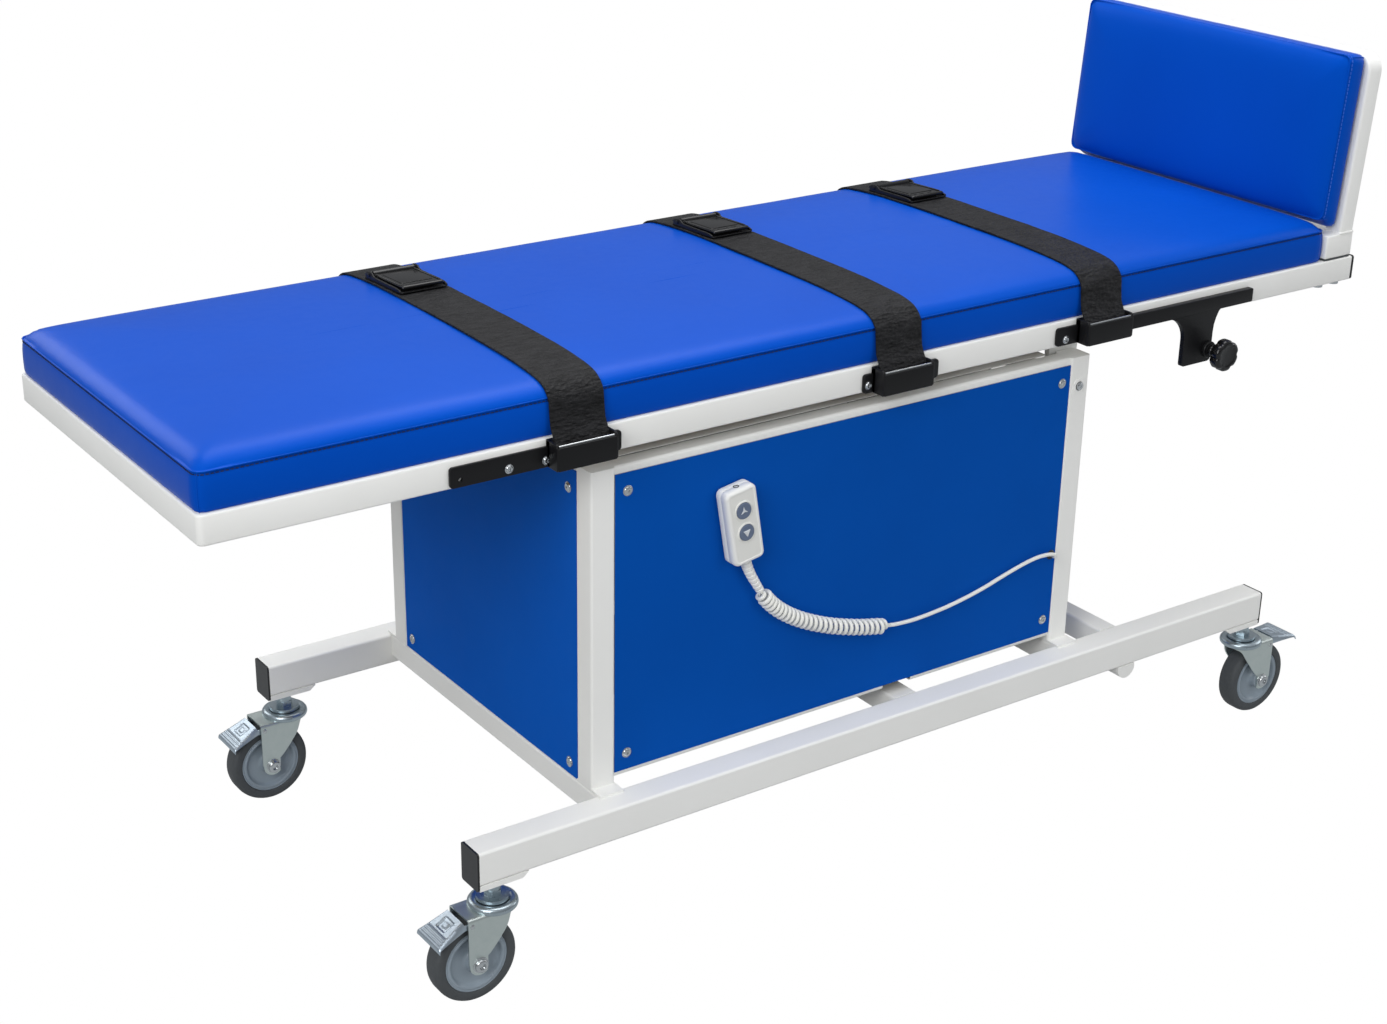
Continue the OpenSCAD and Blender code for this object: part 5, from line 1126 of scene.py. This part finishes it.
shift = pose(Vector((-midX, 0, 0)))
flip = Matrix.Scale(-1, 4, Vector((0, 1, 0)))
blackParts, barParts = [], []
for i, x in enumerate(strap["xs"]):
    parts, bar = anchorParts(anchors, i, x)
    for side in (shift, flip @ shift):
        blackParts += [moved(p, side) for p in parts]
        barParts.append(moved(bar, side))
meshObject("strap anchor plates", *joined(blackParts), blackCoat, "platform", "black_coat", 35, "strap_anchors")
meshObject("strap anchor bars", *joined(barParts), brightSteel, "platform", "steel", 60)


# accessory bar, its bracket and the lobed clamp knob
holder = {"x0": 943, "x1": 1220, "z": 738, "height": 22, "depth": 10.6, "neck": (1075, 1138), "neckLow": 655,
          "flare": 40, "bracketDepth": 9.5, "knob": (1130, 675), "knobRadius": 25, "lobes": 6}


def holderParts(h):
    face, (n0, n1) = -anchors["face"], h["neck"]
    r, z, foot = h["flare"], h["z"], h["neckLow"]
    bar = prism(roundedOutline(h["x0"] - 2, z, h["x1"], z + h["height"], 2.5, 3), face - h["depth"], face, 1.2, 3)
    outline = [(n0 - r - 2, z + 6), (n0 - r - 2, z + 0.4)]
    outline += [(n0 - r + r * sine(v), z - r + r * cosine(v)) for v in range(4, 91, 6)]
    outline += [(n0, foot + 4), (n0 + 1.2, foot + 1.2), (n0 + 4, foot), (n1 - 6, foot), (n1 - 1.8, foot + 1.8),
                (n1, foot + 6), (n1, z - 36), (n1 + 1, z - 24), (n1 + 4, z - 14), (n1 + 9, z - 4), (n1 + 14, z + 1),
                (n1 + 14, z + 6)]
    bracket = prism(outline, face - h["bracketDepth"], face, 1.2, 3)
    kx, kz = h["knob"]
    boss = lathe(((13.4, 0), (13.4, 3.6), (12.4, 5), (9.5, 5.4), (9.3, 7), (8, 7.2)),
                 mm(kx, face - h["bracketDepth"], kz), (0, -1, 0), 40)
    return [bar, bracket, boss]


def knobPart(h):
    # profile of (radius, reach), the rim pressed into lobes
    kx, kz = h["knob"]
    reach, wide = anchors["face"] + h["bracketDepth"] + 5.6, h["knobRadius"]
    shape = ((7.4, 0), (8.2, 0.8), (8.2, 6), (7, 7.2), (6.4, 9), (6.6, 12), (8.6, 15), (12, 17.4), (wide - 5, 18.6),
             (wide - 1.6, 20), (wide, 22.6), (wide, 33), (wide - 1.2, 35.6), (wide - 4, 37.2), (wide - 7.5, 37.4),
             (wide - 9, 36.6), (wide - 10.2, 36.2), (4, 36.1), (0.01, 36.1))
    steps, centre = 96, mm(kx, 0, kz)
    verts, faces = lathe(shape, mm(kx, -reach, kz), (0, -1, 0), steps)
    for i, v in enumerate(verts):
        wave = (0.5 - 0.5 * cos(2 * pi * h["lobes"] * (i % steps) / steps)) ** 4
        share = 1 - 0.11 * wave * clamp((shape[i // steps][0] - 11) / 8)
        verts[i] = Vector((centre.x + (v.x - centre.x) * share, v.y, centre.z + (v.z - centre.z) * share))
    return verts, faces


bars = []
for side, label in ((shift, "front"), (flip @ shift, "back")):
    bars += [moved(p, side) for p in holderParts(holder)]
    meshObject(label + " clamp knob", *moved(knobPart(holder), side), knobPlastic, "knob_" + label, "black_plastic", 45,
               label + "_bracket_knob")
meshObject("accessory bars dressed", *joined(bars), blackCoat, "platform", "black_coat", 35, "accessory_bars")
print("anchors and bars made")


# cam buckles: frame under the strap's end, lever plate with a raised rim
buckle = {"y": 157, "base": 851.9, "lean": -2.4, "width": 76, "length": 112, "hinge": 38, "leverWidth": 66,
          "leverLength": 90, "leverZ": 6.2, "leverDepth": 2.4}


def flatPart(outline, z0, z1, ease=0.5, steps=2):
    # a prism drawn along Z instead of Y
    return moved(prism(outline, z0, z1, ease, steps), turned((1, 0, 0), (0, 0, 1), (0, 1, 0)))


def frameParts(b):
    w, l, h = b["width"] / 2, b["length"] / 2, b["hinge"]
    parts = [flatPart(roundedOutline(-w + 1, -l, w - 1, l, 4, 5), 0.0, 1.6)]
    for s in (-1, 1):
        # cheek: low along the lever, rising round the hinge
        side = ((l - 5, 0), (l - 6, 4.6), (h + 16, 6.4), (h + 11, 9.4), (h + 6.5, 11.6), (h, 12.4), (h - 6.5, 11.6),
                (h - 10, 8.6), (h - 16, 6.8), (-l + 22, 6.0), (-l + 10, 5.4), (-l + 3, 3.4), (-l + 2, 0))
        at = pose(mm(s * w - (3.0 if s > 0 else 0), 0, 0)) @ turned((0, 1, 0), (-1, 0, 0), (0, 0, 1))
        parts.append(moved(prism([(-y, z) for y, z in side], 0, 3.0, 1.0, 3), at))
        # rivet heads of the hinge
        parts.append(lathe(((3.4, -0.2), (3.4, 0.5), (2.6, 1.1), (1.0, 1.3)), mm(s * w, h, 7.5), (s, 0, 0), 20))
    return parts


def rollerPart(b):
    # knurled roller beyond the hinge that grips the webbing
    w, h = b["width"] / 2 - 3, b["hinge"]
    shape = [(3.2, -w)] + [(3.2 if k % 2 else 2.7, -w + 1.5 + k * (2 * w - 3) / 44) for k in range(45)] + [(3.2, w)]
    return lathe(shape, mm(0, h + 11, 5.6), (1, 0, 0), 20)


def leverParts(b):
    w, h = b["leverWidth"] / 2, b["hinge"]
    near, z, t = h - b["leverLength"], b["leverZ"], b["leverDepth"]
    parts = [flatPart(roundedOutline(-w, near, w, h - 2, 5, 5), z, z + t, 0.7)]
    # rim bars on two sides, a raised field, three short pads and their stop
    parts += [boxAt((3.2, b["leverLength"] - 16, 1.8), (s * (w - 2.6), (near + h) / 2, z + t + 0.3), 0.8)
              for s in (-1, 1)]
    parts.append(flatPart(roundedOutline(-w + 8, near + 17, w - 8, h - 14, 4, 5), z + t - 0.4, z + t + 0.8))
    parts += [boxAt((x1 - x0, 2.6, 1.5), ((x0 + x1) / 2, near + 10, z + t), 0.6)
              for x0, x1 in ((-w + 9, -w + 17), (-9, -1), (7, 15))]
    parts.append(boxAt((2.6, 8, 1.5), (-w + 9, near + 13, z + t), 0.6))
    # thumb lip, a rounded bar along the near edge, and the hinge's eye
    parts.append(lathe(((1.2, -w + 0.5), (2.6, -w + 1.8), (2.9, -w + 4), (2.9, w - 4), (2.6, w - 1.8), (1.2, w - 0.5)),
                       mm(0, near + 1.4, z + 0.4), (1, 0, 0), 20))
    parts.append(lathe(((3.2, -w), (4.8, -w + 0.8), (4.8, w - 0.8), (3.2, w)), mm(0, h, 7.5), (1, 0, 0), 28))
    return parts


frames, rollers = [], []
for i, x in enumerate(strap["xs"]):
    at = pose(place(x, buckle["y"], buckle["base"]), buckle["lean"], "X")
    frames += [moved(p, at) for p in frameParts(buckle)]
    rollers.append(moved(rollerPart(buckle), at))
    number = str(i + 1)
    meshObject("buckle lever plate " + number, *moved(joined(leverParts(buckle)), at), knobPlastic, "lever_" + number,
               "black_plastic", 40, "buckle_lever_" + number)
meshObject("buckle frames dressed", *joined(frames), blackCoat, "platform", "black_coat", 40, "buckle_frames")
meshObject("buckle rollers", *joined(rollers), brightSteel, "platform", "steel", 60)
print("buckles made")


# platform frame: one welded U of square tube, its outer head corners round
deckFrame = {"x0": -544, "x1": 1464, "half": 296, "z": 732, "tube": 40, "corner": 9, "ease": 3.2,
             "ribs": (-260.9, 60.4, 379.7, 1130.7), "rib": 30, "pivotX": 873, "headX": 718, "headZ": 698,
             "footBar": (1427, 62), "clevis": (17, 6, 14)}


def deckOutline(d):
    t, r, h = d["tube"], d["corner"], d["half"]
    points = [(d["x1"], -h)]
    points += [(d["x0"] + r - r * sine(a), -h + r - r * cosine(a)) for a in range(0, 91, 10)]
    points += [(x, -y) for x, y in reversed(points)]
    return points + [(d["x1"], h - t), (d["x0"] + t, h - t), (d["x0"] + t, -h + t), (d["x1"], -h + t)]


def deckParts(d):
    t, z = d["tube"], d["z"]
    bars = [(x, d["rib"], d["rib"], z + t - d["rib"] / 2, 2.5) for x in d["ribs"]]
    bars += [(x, wide, t, z + t / 2, 3.2) for x, wide in ((d["pivotX"], t), (d["headX"], t), d["footBar"])]
    parts = [boxAt((wide, 2 * (d["half"] - t) + 1, high), (x, 0, up), ease) for x, wide, high, up, ease in bars]
    y0, thick, r = d["clevis"]
    outline = [(d["headX"] - 20, z + 1)]
    outline += [(r * cosine(a) + d["headX"], d["headZ"] + r * sine(a)) for a in range(180, 361, 15)]
    outline += [(d["headX"] + 20, z + 1)]
    return parts + [prism(outline, s * y0, s * (y0 + thick)) for s in (-1, 1)]


deckShell = flatPart(deckOutline(deckFrame), deckFrame["z"], deckFrame["z"] + deckFrame["tube"], deckFrame["ease"], 3)
meshObject("platform frame tube", *moved(deckShell, shift), whiteCoat, "platform", "powder_coat", 35,
           "platform_side_tubes")
meshObject("platform cross tubes", *moved(joined(deckParts(deckFrame)), shift), whiteCoat, "platform",
           "powder_coat", 35, "platform_cross_members")


# lip along the inner edge of the box's upper side tubes
lipParts = [boxAt((796, 26, 2), (436, s * 239, 703.6), 0.6) for s in (-1, 1)]
meshObject("box top lips", *moved(joined(lipParts), shift), whiteCoat, "base", "powder_coat", 35)


# footboard frame: bent square tube on a base tube, with weld beads round its feet
board = {"half": 279, "height": 270, "bend": 14, "tube": 32, "ease": 4.5, "depth": -16,
         "baseX": (1396, 1458), "baseZ": (775, 814), "baseWidth": 591}


def bentTube(b):
    half, bend, low, e = b["half"], b["bend"], b["height"] - b["bend"], b["tube"] / 2
    line = [(-half, -2.6), (-half, low)]
    line += [(-half + bend * (1 - cosine(a)), low + bend * sine(a)) for a in range(9, 90, 9)]
    line += [(-half + bend, b["height"])]
    line += [(-y, z) for y, z in reversed(line)]
    section = roundedOutline(-e, -e, e, e, b["ease"], 4)
    verts = []
    for i, (y, z) in enumerate(line):
        wayY, wayZ = wayAt(line, i)
        # the section's first side points out of the bend
        verts += [mm(b["depth"] + u, y - wayZ * w, z + wayY * w) for u, w in section]
    return verts, capped(len(line), len(section), True)


def beadRound(centre, sizeX, sizeY, r=1.9):
    # weld bead: a rippled tube round a rectangle in the XY plane
    (cx, cy, cz), w, h = centre, sizeX / 2, sizeY / 2
    loop = roundedOutline(cx - w, cy - h, cx + w, cy + h, 4, 4)
    dense = densed(loop + loop[:1], 1.6)
    rows = []
    for i, (x, y) in enumerate(dense):
        wayX, wayY = x - cx, y - cy
        length = hypot(wayX, wayY)
        swell = r * (1 + 0.13 * sin(i * 2.1))
        for k in range(8):
            a = 2 * pi * k / 8
            rows.append(mm(x + wayX / length * swell * cos(a), y + wayY / length * swell * cos(a), cz + swell * sin(a)))
    return rows, gridFaces(len(dense), 8, True, True)


tubePart = moved(bentTube(board), leanPlace)
(bx0, bx1), (bz0, bz1) = board["baseX"], board["baseZ"]
basePart = moved(boxAt((bx1 - bx0, board["baseWidth"], bz1 - bz0), ((bx0 + bx1) / 2, 0, (bz0 + bz1) / 2), 3.2), shift)
beads = [moved(beadRound((1441, s * 279, 814.3), 32.6, 32.6), shift) for s in (-1, 1)]
meshObject("footboard frame tube", *joined([tubePart, basePart] + beads), whiteCoat, "platform", "powder_coat", 35,
           "footboard_frame")
print("frames made")


# finish of the rigid pieces that come from the frame
finishes = ((whiteCoat, "side_rails base_cross_tubes box_posts box_crossbars platform_side_tubes "
             "platform_cross_members pivot_arms pivot_bushes footboard_frame"),
            (frontBlueCoat, "side_panels"), (endBlueCoatLit, "end_panels"),
            (blackCoat, "strap_anchors accessory_bars buckle_frames buckle_lever_1 buckle_lever_2 buckle_lever_3"),
            (zincPaleLit, "_fork"), (zincPlate, "_pedal caster_mounts"),
            (brightSteel, "panel_screws platform_screws actuator_base_pin actuator_rod handset_hook"),
            (hubPlastic, "_hub"), (treadGrey, "_tyre footboard_feet"),
            (casePlastic, "handset_shell handset_strain_relief"), (buttonRubber, "up_button down_button"),
            (boardWood, "mattress_board footboard_back"), (darkHousing, "control_box actuator_body actuator_eye"),
            (blackPlastic, ""))
for name, solid in nodes.items():
    # the first row that has the name or its ending
    mat = next(mat for mat, ends in finishes if name.endswith(tuple(ends.split()) or ""))
    mesh = solid.data
    mesh.materials.clear()
    mesh.materials.append(mat)
    smoothed(mesh, 32)
print("frame finished")


# studio: pale floor, white surroundings, five soft lights
studio = {"world": "#ffffff", "horizon": 0.12, "zenith": 0.62, "floor": "#a2a2a2", "half": 14,
          "lights": (("key light", (-3.6, -2.2, 2.9), 2.6, 92), ("front light", (1.2, -4.2, 1.9), 3.0, 32),
                     ("top light", (0.4, 0.4, 3.6), 3.4, 84), ("foot light", (4.2, -0.6, 1.8), 2.4, 22),
                     ("back light", (-1.5, 3.56, 2.64), 2.0, 20))}


def mixShaders(tree, ray, first, second):
    # the second shader is what rays of the named kind meet
    mix = addNode(tree, "ShaderNodeMixShader")
    feed(mix, "Fac", addNode(tree, "ShaderNodeLightPath").outputs[ray])
    feed(mix, 1, first)
    feed(mix, 2, second)
    return mix.outputs["Shader"]


def makeStudio(s):
    world = bpy.data.worlds.new("studio")
    scene.world = world
    world.use_nodes = True
    tree = world.node_tree
    tree.nodes.clear()
    lit = addNode(tree, "ShaderNodeBackground", {"Color": linearColour("#eef1f6")})
    # the room is brighter overhead than along the horizon
    split = addNode(tree, "ShaderNodeSeparateXYZ")
    feed(split, "Vector", addNode(tree, "ShaderNodeTexCoord").outputs["Generated"])
    feed(lit, "Strength", rangeOf(split.outputs["Z"], s["horizon"], s["zenith"], -0.1, 0.9))
    seen = addNode(tree, "ShaderNodeBackground", {"Color": linearColour(s["world"]), "Strength": 1.0})
    room = mixShaders(tree, "Is Camera Ray", lit.outputs["Background"], seen.outputs["Background"])
    feed(addNode(tree, "ShaderNodeOutputWorld"), "Surface", room)
    corners = [(x * s["half"], y * s["half"], -0.0005) for x, y in ((-1, -1), (1, -1), (1, 1), (-1, 1))]
    floorMesh = plainMesh("floor", corners, [(0, 1, 2, 3)])
    mat, surface, coord = startMaterial("pale floor")
    tree = mat.node_tree
    feed(surface, "Base Color", mixColours(noiseField(coord, 2.0), s["floor"], "#ababab"))
    surface.inputs["Roughness"].default_value = 0.9
    glow, dim = (addNode(tree, "ShaderNodeEmission", {"Color": linearColour(c), "Strength": 1.0}).outputs["Emission"]
                 for c in ("#ffffff", "#b4b8bb"))
    out = [n for n in tree.nodes if n.type == "OUTPUT_MATERIAL"][0]
    # the camera sees a white floor; mirrored, it is dim, so that upright faces keep their colour
    shown = mixShaders(tree, "Is Camera Ray", surface.outputs["BSDF"], glow)
    feed(out, "Surface", mixShaders(tree, "Is Glossy Ray", shown, dim))
    floorMesh.materials.append(mat)
    newObject("floor", floorMesh)
    for name, spot, size, power in s["lights"]:
        data = bpy.data.lights.new(name, "AREA")
        data.shape, data.size, data.energy = "DISK", size, power
        lamp = newObject(name, data)
        lamp.location = spot
        lamp.rotation_mode = "QUATERNION"
        lamp.rotation_quaternion = (Vector(spot) - Vector((0, 0, 0.55))).to_track_quat("Z", "Y")
        lamp.visible_glossy = name != "front light"


makeStudio(studio)
scene.view_settings.view_transform = "Standard"
print("studio made")
